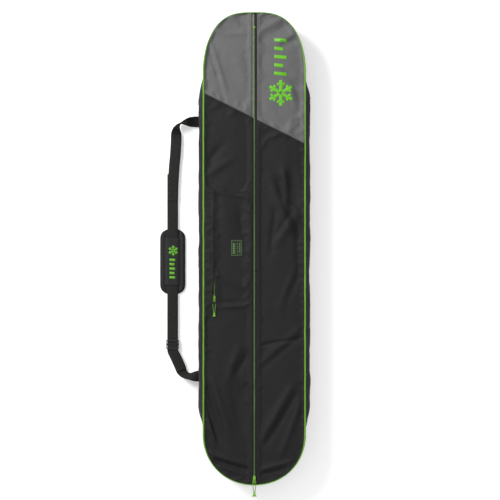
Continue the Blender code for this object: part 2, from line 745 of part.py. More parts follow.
def build_strap(shell):
    hinge = (-(HALF_WIDTH + ANCHOR_HINGE_OUT), 0, ANCHOR_HINGE_Z)
    strap = Body("strap_hinge", hinge, shell)
    strap.add("strap_upper_webbing", webbing(UPPER_ROUTE, 4), "black_webbing")
    strap.add("strap_lower_webbing", webbing(LOWER_ROUTE, 4), "black_webbing")
    strap.add("strap_free_end", webbing(FREE_END_ROUTE, 4), "black_webbing")

    pad = Body("pad_slide", (STRAP_X, PAD_MIDDLE, STRAP_Z), strap)
    pad_top = STRAP_Z - WEBBING_THICK / 2 - RUN
    edge = [(0, 0), (PAD_BINDING, 0), (PAD_BINDING, pad_top), (0, pad_top)]
    loops = [[Vector((x, y, z)) for x, y in pad_outline(inset)] for inset, z in edge]
    pad.add("pad_binding", sweep(list(zip(*loops)), closed=True), "black_webbing")
    pad.add("pad_foam", plate(pad_outline(PAD_BINDING + FIT), 0, pad_top), "pad_cloth")
    pad.add("pad_cover", pad_cover(), "pad_cloth")

    glide = Body("glide_slide", (STRAP_X, GLIDE_MIDDLE, STRAP_Z), strap)
    below, above = STRAP_Z - WEBBING_THICK / 2 - RUN, STRAP_Z + WEBBING_THICK / 2 + RUN
    frame = glide_bar(GLIDE_MIDDLE, GLIDE_LENGTH, below - GLIDE_BAR, above + GLIDE_BAR)
    buckle = glide.add("tri_glide", frame, "black_plastic")
    long = GLIDE_LENGTH + 2 * GLIDE_BAR
    tunnel = WEBBING_WIDTH / 2 + 2 * RUN
    channel = box_outline(STRAP_X - tunnel, STRAP_X + tunnel, below, above)
    way = bar(channel, GLIDE_MIDDLE - long / 2, GLIDE_MIDDLE + long / 2)
    combine(buckle, glide.helper("glide_way_shape", way), "DIFFERENCE")
    rail = GLIDE_LENGTH / 2 - GLIDE_BAR * 1.8
    upper = box_outline(STRAP_X - tunnel, STRAP_X + tunnel, below + FIT, above + 2 * GLIDE_BAR)
    over = bar(upper, GLIDE_MIDDLE - rail, GLIDE_MIDDLE + rail)
    combine(buckle, glide.helper("glide_top_gap_shape", over), "DIFFERENCE")
    lower = box_outline(STRAP_X - tunnel, STRAP_X + tunnel, below - 2 * GLIDE_BAR, above - FIT)
    for word, side in (("near", -1), ("far", 1)):
        inner = GLIDE_MIDDLE + side * GLIDE_BAR * 1.2
        outer = GLIDE_MIDDLE + side * long / 2
        gap = bar(lower, min(inner, outer), max(inner, outer))
        combine(buckle, glide.helper("glide_" + word + "_gap_shape", gap), "DIFFERENCE")


def main():
    clear_scene()
    shell = build_shell()
    left, left_panel = build_half(shell, -1, "left")
    build_half(shell, 1, "right")
    build_pocket(left, left_panel)
    main_route, pocket_route = (MAIN_PULL_LEG, MAIN_PULL_BEND), (POCKET_PULL_LEG, POCKET_PULL_BEND)
    build_slider(shell, MAIN_ZIP, SLIDER_Y, "main", main_route, MAIN_GRIP)
    build_slider(left, POCKET_ZIP, POCKET_SLIDER_Y, "pocket", pocket_route, POCKET_GRIP)
    build_strap(shell)


main()
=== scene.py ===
"""The looks of a snowboard bag: sewn cloth, zips, piping, webbing strap and pad.

Metres, +Z up, +Y towards the nose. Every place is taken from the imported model's boxes.
"""

import math

import bmesh
import bpy
import numpy as np
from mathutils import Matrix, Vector, noise
from mathutils.bvhtree import BVHTree
from mathutils.kdtree import KDTree


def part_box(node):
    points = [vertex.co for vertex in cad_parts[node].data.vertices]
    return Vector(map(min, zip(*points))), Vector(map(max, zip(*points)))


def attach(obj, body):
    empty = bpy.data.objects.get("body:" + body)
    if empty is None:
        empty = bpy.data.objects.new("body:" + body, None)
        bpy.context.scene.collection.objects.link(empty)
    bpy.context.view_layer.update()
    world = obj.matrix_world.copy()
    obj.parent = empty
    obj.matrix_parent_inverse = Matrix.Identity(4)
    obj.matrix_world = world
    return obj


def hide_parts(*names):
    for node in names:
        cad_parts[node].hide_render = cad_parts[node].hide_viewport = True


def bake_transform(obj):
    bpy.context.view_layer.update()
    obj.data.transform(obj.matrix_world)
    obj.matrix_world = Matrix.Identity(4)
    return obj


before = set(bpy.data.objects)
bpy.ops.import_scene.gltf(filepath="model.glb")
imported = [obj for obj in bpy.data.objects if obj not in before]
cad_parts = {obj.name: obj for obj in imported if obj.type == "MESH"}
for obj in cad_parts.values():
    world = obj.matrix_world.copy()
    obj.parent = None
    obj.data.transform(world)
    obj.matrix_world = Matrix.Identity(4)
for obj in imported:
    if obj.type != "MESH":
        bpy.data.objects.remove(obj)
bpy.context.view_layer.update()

# ---------------------------------------------------------------- sizes from the model


def middle_of(node, axis):
    """The middle of a node's box along x, y or z (0, 1 or 2)."""
    low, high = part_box(node)
    return (low[axis] + high[axis]) / 2


PIPING_LOW, PIPING_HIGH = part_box("front_piping")
HALF_WIDTH, HALF_LENGTH = PIPING_HIGH.x, PIPING_HIGH.y
PIPING_RADIUS = (PIPING_HIGH.z - PIPING_LOW.z) / 2
FRONT_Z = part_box("front_panel_right")[1].z
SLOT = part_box("front_panel_right")[0].x
PANEL_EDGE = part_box("front_panel_right")[1].x
NOSE_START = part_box("gusset_nose")[0].y
TAIL_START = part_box("gusset_tail")[1].y
NOSE_POWERS = (3.07, 1.84)
TAIL_POWERS = (2.08, 2.08)
SEAM_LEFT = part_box("front_panel_left")[1].y
SEAM_MIDDLE = (SEAM_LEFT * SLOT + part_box("front_panel_right")[1].y * PANEL_EDGE) / (SLOT + PANEL_EDGE)
SEAM_SLOPE = (SEAM_MIDDLE - SEAM_LEFT) / PANEL_EDGE
GUSSET_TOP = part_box("gusset_right")[1].z
# How far a seam edge of the cloth stands from the middle of the main zip
LIP_LEFT, LIP_RIGHT = 0.0058, 0.0096
CLOTH = 0.0012
# How far the front's cloth stays in from the bag's edge, along its sides and at its ends
EDGE_SIDE, EDGE_END = 0.0046, 0.0026

POCKET_LOW, POCKET_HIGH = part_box("pocket_panel")
POCKET_ZIP_X = middle_of("pocket_slider", 0)
POCKET_SLOT_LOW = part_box("pocket_low_stop")[0].y
POCKET_SLOT_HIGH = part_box("pocket_high_stop")[1].y
POCKET_HINGE_X = POCKET_HIGH.x

STRAP_X = middle_of("pad_foam", 0)
WEBBING_WIDTH = 0.038
WEBBING_THICK = 0.0018

# Where cloth would start to lift with the turning halves of the front, and where it would be fully on them;
# lift reads them but bends nothing
NOSE_LIFT = ((0, 0.62, 0), (0, 0.25, 0))
TAIL_LIFT = ((0, -0.70, 0), (0, -0.40, 0))
LIFT_SPLIT = -0.08
POCKET_SPLIT = 0.004


# ---------------------------------------------------------------- finishes


class Wire:
    """A socket of a shader node that can be used in sums."""

    def __init__(self, finish, socket):
        self.finish = finish
        self.socket = socket

    def sum(self, operation, first, second):
        settings = {"operation": operation}
        return self.finish.node("ShaderNodeMath", settings, {0: first, 1: second})

    def __add__(self, other):
        return self.sum("ADD", self, other)

    __radd__ = __add__

    def __mul__(self, other):
        return self.sum("MULTIPLY", self, other)

    __rmul__ = __mul__

    def __sub__(self, other):
        return self.sum("SUBTRACT", self, other)

    def __rsub__(self, other):
        return self.sum("SUBTRACT", other, self)

    def __truediv__(self, other):
        return self.sum("DIVIDE", self, other)

    def __pow__(self, other):
        return self.sum("POWER", self, other)

    def __gt__(self, other):
        return self.sum("GREATER_THAN", self, other)

    def wave(self, length):
        """A sine of this value, one turn for each length."""
        return (self * (2 * math.pi / length)).sum_one("SINE")

    def sum_one(self, operation):
        return self.finish.node("ShaderNodeMath", {"operation": operation}, {0: self})


class Finish:
    """A material made of a Principled shader and the nodes that feed it."""

    def __init__(self, name, **constants):
        self.material = bpy.data.materials.new(name)
        self.material.use_nodes = True
        self.tree = self.material.node_tree
        self.shader = self.tree.nodes["Principled BSDF"]
        for key, value in constants.items():
            self.set(key.replace("_", " "), value)

    def node(self, kind, settings, inputs, output=0):
        made = self.tree.nodes.new(kind)
        for key, value in settings.items():
            if key == "stops":
                for k, (place, colour) in enumerate(value):
                    stop = made.color_ramp.elements[k] if k < 2 else made.color_ramp.elements.new(place)
                    stop.position, stop.color = place, (*colour, 1)
            else:
                setattr(made, key, value)
        for key, value in inputs.items():
            self.feed(made.inputs[key], value)
        return Wire(self, made.outputs[output])

    def feed(self, socket, value):
        if isinstance(value, Wire):
            self.tree.links.new(value.socket, socket)
        elif socket.type == "RGBA" and len(value) == 3:
            socket.default_value = (*value, 1)
        else:
            socket.default_value = value

    def set(self, name, value):
        self.feed(self.shader.inputs[name], value)

    def where(self, kind="UV"):
        """The point on the piece: its own cloth coordinates in metres, or its place."""
        return self.node("ShaderNodeTexCoord", {}, {}, kind)

    def parts(self, vector):
        split = self.node("ShaderNodeSeparateXYZ", {}, {0: vector})
        return split, Wire(self, split.socket.node.outputs[1])

    def clouds(self, where, scale, detail=3.0, rough=0.55, twist=0.0):
        """Soft random patches, this many to the metre, between 0 and 1."""
        inputs = {"Vector": where, "Scale": scale, "Detail": detail, "Roughness": rough, "Distortion": twist}
        return self.node("ShaderNodeTexNoise", {}, inputs)

    def blend(self, share, first, second):
        """A colour between two, by share."""
        settings = {"data_type": "RGBA"}
        return self.node("ShaderNodeMix", settings, {0: share, 6: first, 7: second}, 2)

    def ramp(self, value, low, high):
        """0 below low, 1 above high."""
        inputs = {"Value": value, "From Min": low, "From Max": high}
        return self.node("ShaderNodeMapRange", {}, inputs)

    def relief(self, height, depth, under=None):
        inputs = {"Strength": 1.0, "Distance": depth, "Height": height}
        if under:
            inputs["Normal"] = under
        return self.node("ShaderNodeBump", {}, inputs)

    def tones(self, value, low, high, colour, dark, light):
        """The colour, this much darker where value is low and lighter where it is high."""
        return self.blend(self.ramp(value, low, high), shade(colour, dark), shade(colour, light))

    def made_of(self, colour, rough, height, depth, under=None):
        """The material, with what varies over it and its fine relief."""
        self.set("Base Color", colour)
        self.set("Roughness", rough)
        self.set("Normal", self.relief(height, depth, under))
        return self.material


def shade(colour, factor):
    return tuple(part * factor for part in colour)


GREY = (0.1030, 0.1030, 0.1050)
BLACK = (0.0115, 0.0115, 0.0125)
LIME = (0.128, 0.340, 0.015)
OLIVE_LIME = (0.165, 0.280, 0.080)


def cloth_finish(name, colour, thread=0.00055, where="UV", shine=0.26, dust_tone=0.010):
    """Coated plain-weave polyester: threads over and under, soft creases with painted shade in their hollows
    and painted light on their ridges, and a little dust.
    """
    finish = Finish(name, IOR=1.45, Specular_IOR_Level=shine, Sheen_Weight=shine * 0.16, Sheen_Roughness=0.4)
    place = finish.where(where)
    across, along = finish.parts(place)
    weave = across.wave(2 * thread) * along.wave(2 * thread)
    patches = finish.clouds(place, 5.0, 4.0)
    fibres = finish.clouds(place, 900.0, 2.0)
    creases = finish.clouds(place, 26.0, 5.0, 0.6, 0.9)
    dust = finish.ramp(finish.clouds(place, 55.0, 6.0, 0.7), 0.52, 0.80)
    # The creases lift the colour on their ridges and darken it in their hollows: painted light and painted
    # shade over the relief they also give
    tone = patches * 0.35 + fibres * 0.25 + weave * 0.08 + creases * 0.12
    base = finish.tones(tone, 0.12, 0.62, colour, 0.80, 1.20)
    dusty = tuple(part * 0.82 + dust_tone for part in colour)
    base = finish.blend(dust * 0.30, base, dusty)
    threads = finish.relief(weave + fibres * 0.6, 0.00007)
    return finish.made_of(base, 0.66 + patches * 0.14 + weave * 0.05, creases, 0.0016, threads)


def webbing_finish(name, colour, rib=0.0024):
    """Woven webbing: a herringbone that turns back on itself every few millimetres."""
    finish = Finish(name, IOR=1.45, Specular_IOR_Level=0.26, Sheen_Weight=0.05, Sheen_Roughness=0.5)
    place = finish.where()
    across, along = finish.parts(place)
    turns = finish.node("ShaderNodeMath", {"operation": "PINGPONG"}, {0: across, 1: 0.0032})
    chevron = (along + turns * 1.1).wave(rib)
    threads = across.wave(0.0008)
    wear = finish.clouds(place, 40.0, 5.0, 0.65)
    base = finish.tones(chevron * 0.16 + wear * 0.7 + threads * 0.06, 0.1, 0.7, colour, 0.7, 1.3)
    return finish.made_of(base, 0.70 + wear * 0.15, chevron + threads * 0.4, 0.00018)


def satin_finish(name, colour):
    """Bias tape wrapped round the piping cord: slanting ribs with a soft shine."""
    finish = Finish(name, IOR=1.48, Specular_IOR_Level=0.35)
    place = finish.where()
    across, along = finish.parts(place)
    twill = (along + across).wave(0.0011)
    wear = finish.clouds(place, 30.0, 4.0)
    soil = finish.ramp(finish.clouds(place, 9.0, 5.0, 0.6), 0.50, 0.78)
    base = finish.tones(twill * 0.2 + wear, 0.2, 0.8, colour, 0.82, 1.12)
    base = finish.blend(soil * 0.28, base, shade(colour, 0.50))
    return finish.made_of(base, 0.42 + wear * 0.18, twill, 0.00012)


def tape_finish(name, colour, nose_colour=None):
    """Close-woven zip tape with ribs along it, in another colour beside the nose cloth."""
    finish = Finish(name, IOR=1.45)
    place = finish.where()
    across, along = finish.parts(place)
    ribs = across.wave(0.0014) + along.wave(0.0007) * 0.6
    wear = finish.clouds(place, 60.0, 4.0)
    tone = finish.ramp(ribs * 0.2 + wear, 0.2, 0.8)
    base = finish.blend(tone, shade(colour, 0.7), shade(colour, 1.3))
    if nose_colour:
        beside = finish.blend(tone, shade(nose_colour, 0.8), shade(nose_colour, 1.2))
        base = finish.blend(along > SEAM_MIDDLE, base, beside)
    return finish.made_of(base, 0.75 + wear * 0.1, ribs, 0.00010)


def coil_finish(name, colour, nose_colour):
    """Nylon coil, soiled in patches, in another colour beside the nose cloth."""
    finish = Finish(name, IOR=1.50, Coat_Weight=0.10, Coat_Roughness=0.3)
    place = finish.where("Object")
    wear = finish.clouds(place, 220.0, 4.0)
    drift = finish.clouds(place, 6.0, 3.0)
    base = finish.tones(wear * 0.5 + drift * 0.5, 0.3, 0.7, colour, 0.78, 1.18)
    soil = finish.ramp(finish.clouds(place, 5.0, 3.0), 0.46, 0.62)
    base = finish.blend(soil * 0.55, base, shade(colour, 0.45))
    along = finish.parts(place)[1]
    beside = finish.blend(drift, shade(nose_colour, 0.85), shade(nose_colour, 1.15))
    base = finish.blend(along > SEAM_MIDDLE, base, beside)
    return finish.made_of(base, 0.36 + wear * 0.22, wear, 0.00006)


def painted_finish(name, colour):
    """Painted zinc: an even coat, fine orange peel, rubbed through in small spots."""
    finish = Finish(name, IOR=1.50, Coat_Weight=0.35, Coat_Roughness=0.15)
    place = finish.where("Object")
    rubbed = finish.ramp(finish.clouds(place, 420.0, 6.0, 0.7), 0.66, 0.72)
    peel = finish.clouds(place, 1500.0, 2.0)
    finish.set("Metallic", rubbed)
    bare_metal = (0.42, 0.43, 0.42)
    return finish.made_of(finish.blend(rubbed, colour, bare_metal), 0.28 + peel * 0.12, peel, 0.00002)


def moulded_finish(name, colour, rough=0.45, grain=900.0):
    """Moulded plastic or soft rubber with a fine spark-eroded skin and a few scuffs."""
    finish = Finish(name, IOR=1.50)
    place = finish.where("Object")
    skin = finish.clouds(place, grain, 3.0)
    scuffs = finish.ramp(finish.clouds(place, 160.0, 6.0, 0.7, 1.5), 0.60, 0.72)
    base = finish.blend(scuffs * 0.4, colour, tuple(part * 0.8 + 0.02 for part in colour))
    return finish.made_of(base, rough + skin * 0.15 + scuffs * 0.10, skin, 0.00005)


def braid_finish(name, colour):
    """Braided or spun thread: strands that cross on a slant, with some fuzz."""
    finish = Finish(name, IOR=1.46, Sheen_Weight=0.2)
    place = finish.where()
    across, along = finish.parts(place)
    strands = (along + across).wave(0.0016) * (along - across).wave(0.0016)
    fuzz = finish.clouds(place, 1200.0, 3.0)
    base = finish.tones(strands * 0.35 + fuzz * 0.5, -0.1, 0.6, colour, 0.62, 1.12)
    return finish.made_of(base, 0.60 + fuzz * 0.2, strands + fuzz * 0.3, 0.00022)


def print_finish(name, colour):
    """Thick screen ink on cloth: the weave shows through, and it is cracked in places."""
    finish = Finish(name, IOR=1.50)
    place = finish.where()
    across, along = finish.parts(place)
    weave = across.wave(0.0011) * along.wave(0.0011)
    cracks = finish.ramp(finish.clouds(place, 320.0, 6.0, 0.75), 0.63, 0.69)
    tone = finish.clouds(place, 18.0, 4.0)
    base = finish.tones(tone, 0.3, 0.7, colour, 0.90, 1.06)
    base = finish.blend(cracks * 0.30, base, shade(colour, 0.45))
    return finish.made_of(base, 0.50 + weave * 0.05 + cracks * 0.2, weave, 0.00004)


def floor_finish():
    """Plain and pale, with very soft patches."""
    finish = Finish("pale_floor", Roughness=0.9, Emission_Color=(1.0, 1.0, 1.0), Emission_Strength=0.30)
    tone = finish.clouds(finish.where("Object"), 2.0, 3.0)
    finish.set("Base Color", finish.blend(tone, (0.93, 0.93, 0.93), (0.95, 0.95, 0.95)))
    return finish.material


FINISHES = {
    "grey_cloth": cloth_finish("grey_cloth", GREY, shine=0.5, dust_tone=0.030),
    "black_cloth": cloth_finish("black_cloth", BLACK),
    "gusset_cloth": cloth_finish("gusset_cloth", (0.0085, 0.0080, 0.0098), shine=0.20, dust_tone=0.004),
    "inner_coating": cloth_finish("inner_coating", (0.040, 0.040, 0.042), 0.0007),
    "lining": cloth_finish("lining", (0.018, 0.018, 0.020), 0.0004),
    "inside_tape": cloth_finish("inside_tape", (0.022, 0.022, 0.023), 0.0009, "Object"),
    "webbing": webbing_finish("webbing", (0.0155, 0.0150, 0.0132)),
    "pad_cloth": cloth_finish("pad_cloth", (0.0165, 0.0165, 0.0170), 0.0008),
    "binding": webbing_finish("binding", (0.0120, 0.0118, 0.0118), 0.0012),
    "piping": satin_finish("piping", LIME),
    "coil": coil_finish("coil", OLIVE_LIME, (0.160, 0.215, 0.105)),
    "tape": tape_finish("tape", (0.008, 0.0085, 0.0075)),
    "two_tone_tape": tape_finish("two_tone_tape", (0.008, 0.0085, 0.0075), (0.170, 0.195, 0.145)),
    "slider_paint": painted_finish("slider_paint", (0.170, 0.420, 0.022)),
    "cord": braid_finish("cord", LIME),
    "grip": moulded_finish("grip", (0.190, 0.420, 0.035), 0.55),
    "buckle": moulded_finish("buckle", (0.012, 0.012, 0.012), 0.33),
    "print": print_finish("print", (0.115, 0.430, 0.006)),
    "pad_print": print_finish("pad_print", (0.110, 0.370, 0.010)),
    "label_print": print_finish("label_print", (0.070, 0.200, 0.025)),
    "label": tape_finish("label", (0.019, 0.022, 0.019)),
    "thread": braid_finish("thread", (0.020, 0.020, 0.021)),
    "grey_thread": braid_finish("grey_thread", (0.070, 0.070, 0.072)),
}


# ---------------------------------------------------------------- making meshes


def linked(name, mesh, *finishes):
    """The mesh as a piece of the scene, with its finishes."""
    for word in finishes:
        mesh.materials.append(FINISHES[word])
    made = bpy.data.objects.new(name, mesh)
    bpy.context.scene.collection.objects.link(made)
    return made


def poured(name, body, *finishes):
    """The mesh being worked on as a piece of the scene."""
    mesh = bpy.data.meshes.new(name)
    body.to_mesh(mesh)
    body.free()
    return linked(name, mesh, *finishes)


def piece_from(name, points, faces, finish, places=()):
    """An object from points, faces and, for each point, its place on the cloth."""
    mesh = bpy.data.meshes.new(name)
    mesh.from_pydata([tuple(map(float, p)) for p in points], [], faces)
    if len(places):
        layer = mesh.uv_layers.new(name="cloth")
        for loop in mesh.loops:
            layer.data[loop.index].uv = places[loop.vertex_index]
    mesh.shade_smooth()
    return linked(name, mesh, *([finish] if isinstance(finish, str) else finish))


def grid_piece(name, points, finish, keep=None):
    """A sheet over a grid of points; keep says which cells are cloth."""
    rows, columns = points.shape[:2]
    used = {}
    verts, places, faces = [], [], []

    def index(k, j):
        if (k, j) not in used:
            used[(k, j)] = len(verts)
            verts.append(points[k, j])
            places.append(tuple(map(float, points[k, j, :2])))
        return used[(k, j)]

    for k in range(rows - 1):
        for j in range(columns - 1):
            if keep is None or keep[k, j]:
                faces.append([index(k, j), index(k, j + 1), index(k + 1, j + 1), index(k + 1, j)])
    return piece_from(name, verts, faces, finish, places)


def grid_of(rows, columns, place):
    """A grid of points; place gives the one at shares u across and v along, each from 0 to 1."""
    us, vs = [j / (columns - 1) for j in range(columns)], [k / (rows - 1) for k in range(rows)]
    return np.array([[tuple(place(u, v)) for u in us] for v in vs])


def face_up(piece):
    """Turns the faces over if most of them look down."""
    mesh = piece.data
    if sum(face.normal.z * face.area for face in mesh.polygons) < 0:
        mesh.flip_normals()


def thicken(piece, thick, inner=0, smooth=1):
    """Gives a sheet its thickness, below its outer face, and rounds it."""
    step = piece.modifiers.new("thickness", "SOLIDIFY")
    step.thickness = thick
    step.offset = -1
    step.material_offset = inner
    step.material_offset_rim = 0
    if smooth:
        round_off(piece, smooth)
    apply_all(piece)


def round_off(piece, levels=1):
    """One or more rounds of subdivision."""
    step = piece.modifiers.new("round", "SUBSURF")
    step.levels = levels
    step.render_levels = levels


def bevel(piece, width, segments=2, angle=35):
    step = piece.modifiers.new("bevel", "BEVEL")
    step.width = width
    step.segments = segments
    step.limit_method = "ANGLE"
    step.angle_limit = math.radians(angle)


def apply_all(piece):
    """Turns the piece's modifiers into its mesh."""
    graph = bpy.context.evaluated_depsgraph_get()
    mesh = bpy.data.meshes.new_from_object(piece.evaluated_get(graph))
    piece.modifiers.clear()
    piece.data = mesh
    mesh.name = piece.name


def joined(name, pieces):
    """One object from several."""
    with bpy.context.temp_override(
        active_object=pieces[0], selected_editable_objects=pieces, selected_objects=pieces
    ):
        bpy.ops.object.join()
    pieces[0].name = name
    pieces[0].data.name = name
    return pieces[0]


def travelled(points):
    """The distance gone at each point, with the way back to the first one at the end."""
    gone = [0.0]
    for a, b in zip(points, list(points[1:]) + [points[0]]):
        gone.append(gone[-1] + (Vector(b) - Vector(a)).length)
    return gone


def swept(name, sections, finish, closed=False, girth=None):
    """A solid through a row of loops; its cloth coordinates run round it and along it."""
    count, rows = len(sections[0]), len(sections)
    mesh = bpy.data.meshes.new(name)
    faces = []
    for k in range(rows if closed else rows - 1):
        for j in range(count):
            here, after = k * count, (k + 1) % rows * count
            faces.append([here + j, here + (j + 1) % count, after + (j + 1) % count, after + j])
    if not closed:
        faces.append(list(range(count))[::-1])
        faces.append([(rows - 1) * count + j for j in range(count)])
    points = [point for section in sections for point in section]
    mesh.from_pydata([tuple(map(float, p)) for p in points], [], faces)
    girth = girth or travelled(sections[0])
    length = travelled([section[0] for section in sections])
    layer = mesh.uv_layers.new(name="cloth")
    for face in mesh.polygons:
        spots = [divmod(mesh.loops[loop].vertex_index, count) for loop in face.loop_indices]
        wraps = len(spots) == 4 and any(column == count - 1 for _, column in spots)
        ends = closed and any(row == rows - 1 for row, _ in spots)
        for loop, (row, column) in zip(face.loop_indices, spots):
            u = girth[count] if wraps and column == 0 else girth[column]
            v = length[rows] if ends and row == 0 else length[row]
            layer.data[loop].uv = (u, v)
    mesh.shade_smooth()
    mesh.set_sharp_from_angle(angle=math.radians(50))
    made = linked(name, mesh, finish)
    tidy_normals(made)
    return made


def smooth_path(route, steps):
    """Points on a smooth curve through the route's own points."""
    places = [Vector(point) for point in route]
    places = [2 * places[0] - places[1]] + places + [2 * places[-1] - places[-2]]
    found = []
    for before, start, end, after in zip(places, places[1:], places[2:], places[3:]):
        for step in range(steps):
            t = step / steps
            curve = 2 * start + (end - before) * t
            curve += (2 * before - 5 * start + 4 * end - after) * t**2
            curve += (3 * start - before - 3 * end + after) * t**3
            found.append(curve / 2)
    return found + [places[-2]]


def tube(name, path, radius, finish, sides=10):
    """A round cord along a path, whose sections turn with it."""
    sections = []
    side = Vector((0, 0, 1))
    for k, place in enumerate(path):
        ahead = (path[min(k + 1, len(path) - 1)] - path[max(k - 1, 0)]).normalized()
        side = (side - ahead * side.dot(ahead)).normalized()
        other = ahead.cross(side)
        turns = [2 * math.pi * j / sides for j in range(sides)]
        sections.append([place + (side * math.cos(a) + other * math.sin(a)) * radius for a in turns])
    return swept(name, sections, finish)


def stitch_row(name, path, finish, pitch=0.0034, long=0.0025, thick=0.00030):
    """A row of lockstitches lying on a path of (point, outward normal)."""
    spots = [Vector(p) for p, n in path]
    ups = [Vector(n) for p, n in path]
    verts, faces, places = [], [], []
    gone, next_at = 0.0, pitch / 2
    for a, b, up in zip(spots, spots[1:], ups):
        span = (b - a).length
        while span > 0 and next_at <= gone + span:
            middle = a + (b - a) * ((next_at - gone) / span)
            ahead = (b - a).normalized()
            side = ahead.cross(up).normalized()
            first = len(verts)
            for along, size in ((-0.5, 0.25), (-0.28, 1.0), (0.28, 1.0), (0.5, 0.25)):
                for u, v in ((-1, 0), (0, 1), (1, 0), (0, -1)):
                    lift = up * (v * thick * size + (thick * 0.4 if size > 0.5 else -thick * 0.6))
                    verts.append(middle + ahead * (along * long) + side * (u * thick * size) + lift)
                    places.append((u * thick, along * long))
            for ring in range(3):
                for j in range(4):
                    here, there = first + ring * 4, first + ring * 4 + 4
                    faces.append([here + j, here + (j + 1) % 4, there + (j + 1) % 4, there + j])
            faces.append([first + 3, first + 2, first + 1, first])
            faces.append([first + 12, first + 13, first + 14, first + 15])
            next_at += pitch
        gone += span
    return piece_from(name, verts, faces, finish, places)


# ---------------------------------------------------------------- the bag's outline


def end_curve(inset, length, powers, steps=60):
    wide, long = powers
    points = []
    for step in range(steps + 1):
        turn = math.pi / 2 * step / steps
        x = 0.0 if step == steps else math.cos(turn) ** (2 / wide)
        y = math.sin(turn) ** (2 / long)
        out = Vector((wide / HALF_WIDTH * x ** (wide - 1), long / length * y ** (long - 1)))
        out.normalize()
        points.append((HALF_WIDTH * x - inset * out.x, length * y - inset * out.y))
    return points


def nose_curve(inset, steps=60):
    return [(x, NOSE_START + y) for x, y in end_curve(inset, HALF_LENGTH - NOSE_START, NOSE_POWERS, steps)]


def tail_curve(inset, steps=60):
    return [(x, TAIL_START - y) for x, y in end_curve(inset, HALF_LENGTH + TAIL_START, TAIL_POWERS, steps)]


def side_ys(step=0.009):
    count = round((NOSE_START - TAIL_START) / step)
    return [TAIL_START + (NOSE_START - TAIL_START) * k / count for k in range(1, count)]


def outline(inset, steps=40):
    """The whole way round from the tail's tip: up the right side and down the left one."""
    nose, tail = nose_curve(inset, steps), tail_curve(inset, steps)
    right = tail[::-1] + [(HALF_WIDTH - inset, y) for y in side_ys()] + nose
    left = [(-x, y) for x, y in reversed(right)]
    return right + left[1:-1]


def half_width_at(y, inset, cache={}):
    """How far the outline stands from the middle at each y."""
    if inset not in cache:
        ends = tail_curve(inset, 200)[::-1] + nose_curve(inset, 200)
        cache[inset] = np.array([p[1] for p in ends]), np.array([p[0] for p in ends])
    return np.interp(y, *cache[inset], left=0.0, right=0.0)


def wobble(place, scale, seed=0.0):
    """Soft random value between about -1 and 1 at a point."""
    return noise.noise(Vector((place[0] * scale, place[1] * scale, seed)))


def ease(value, low, high):
    """0 at low, 1 at high, level at both ends."""
    t = np.clip((value - low) / (high - low), 0.0, 1.0)
    return t * t * (3 - 2 * t)


# ---------------------------------------------------------------- folds of the front

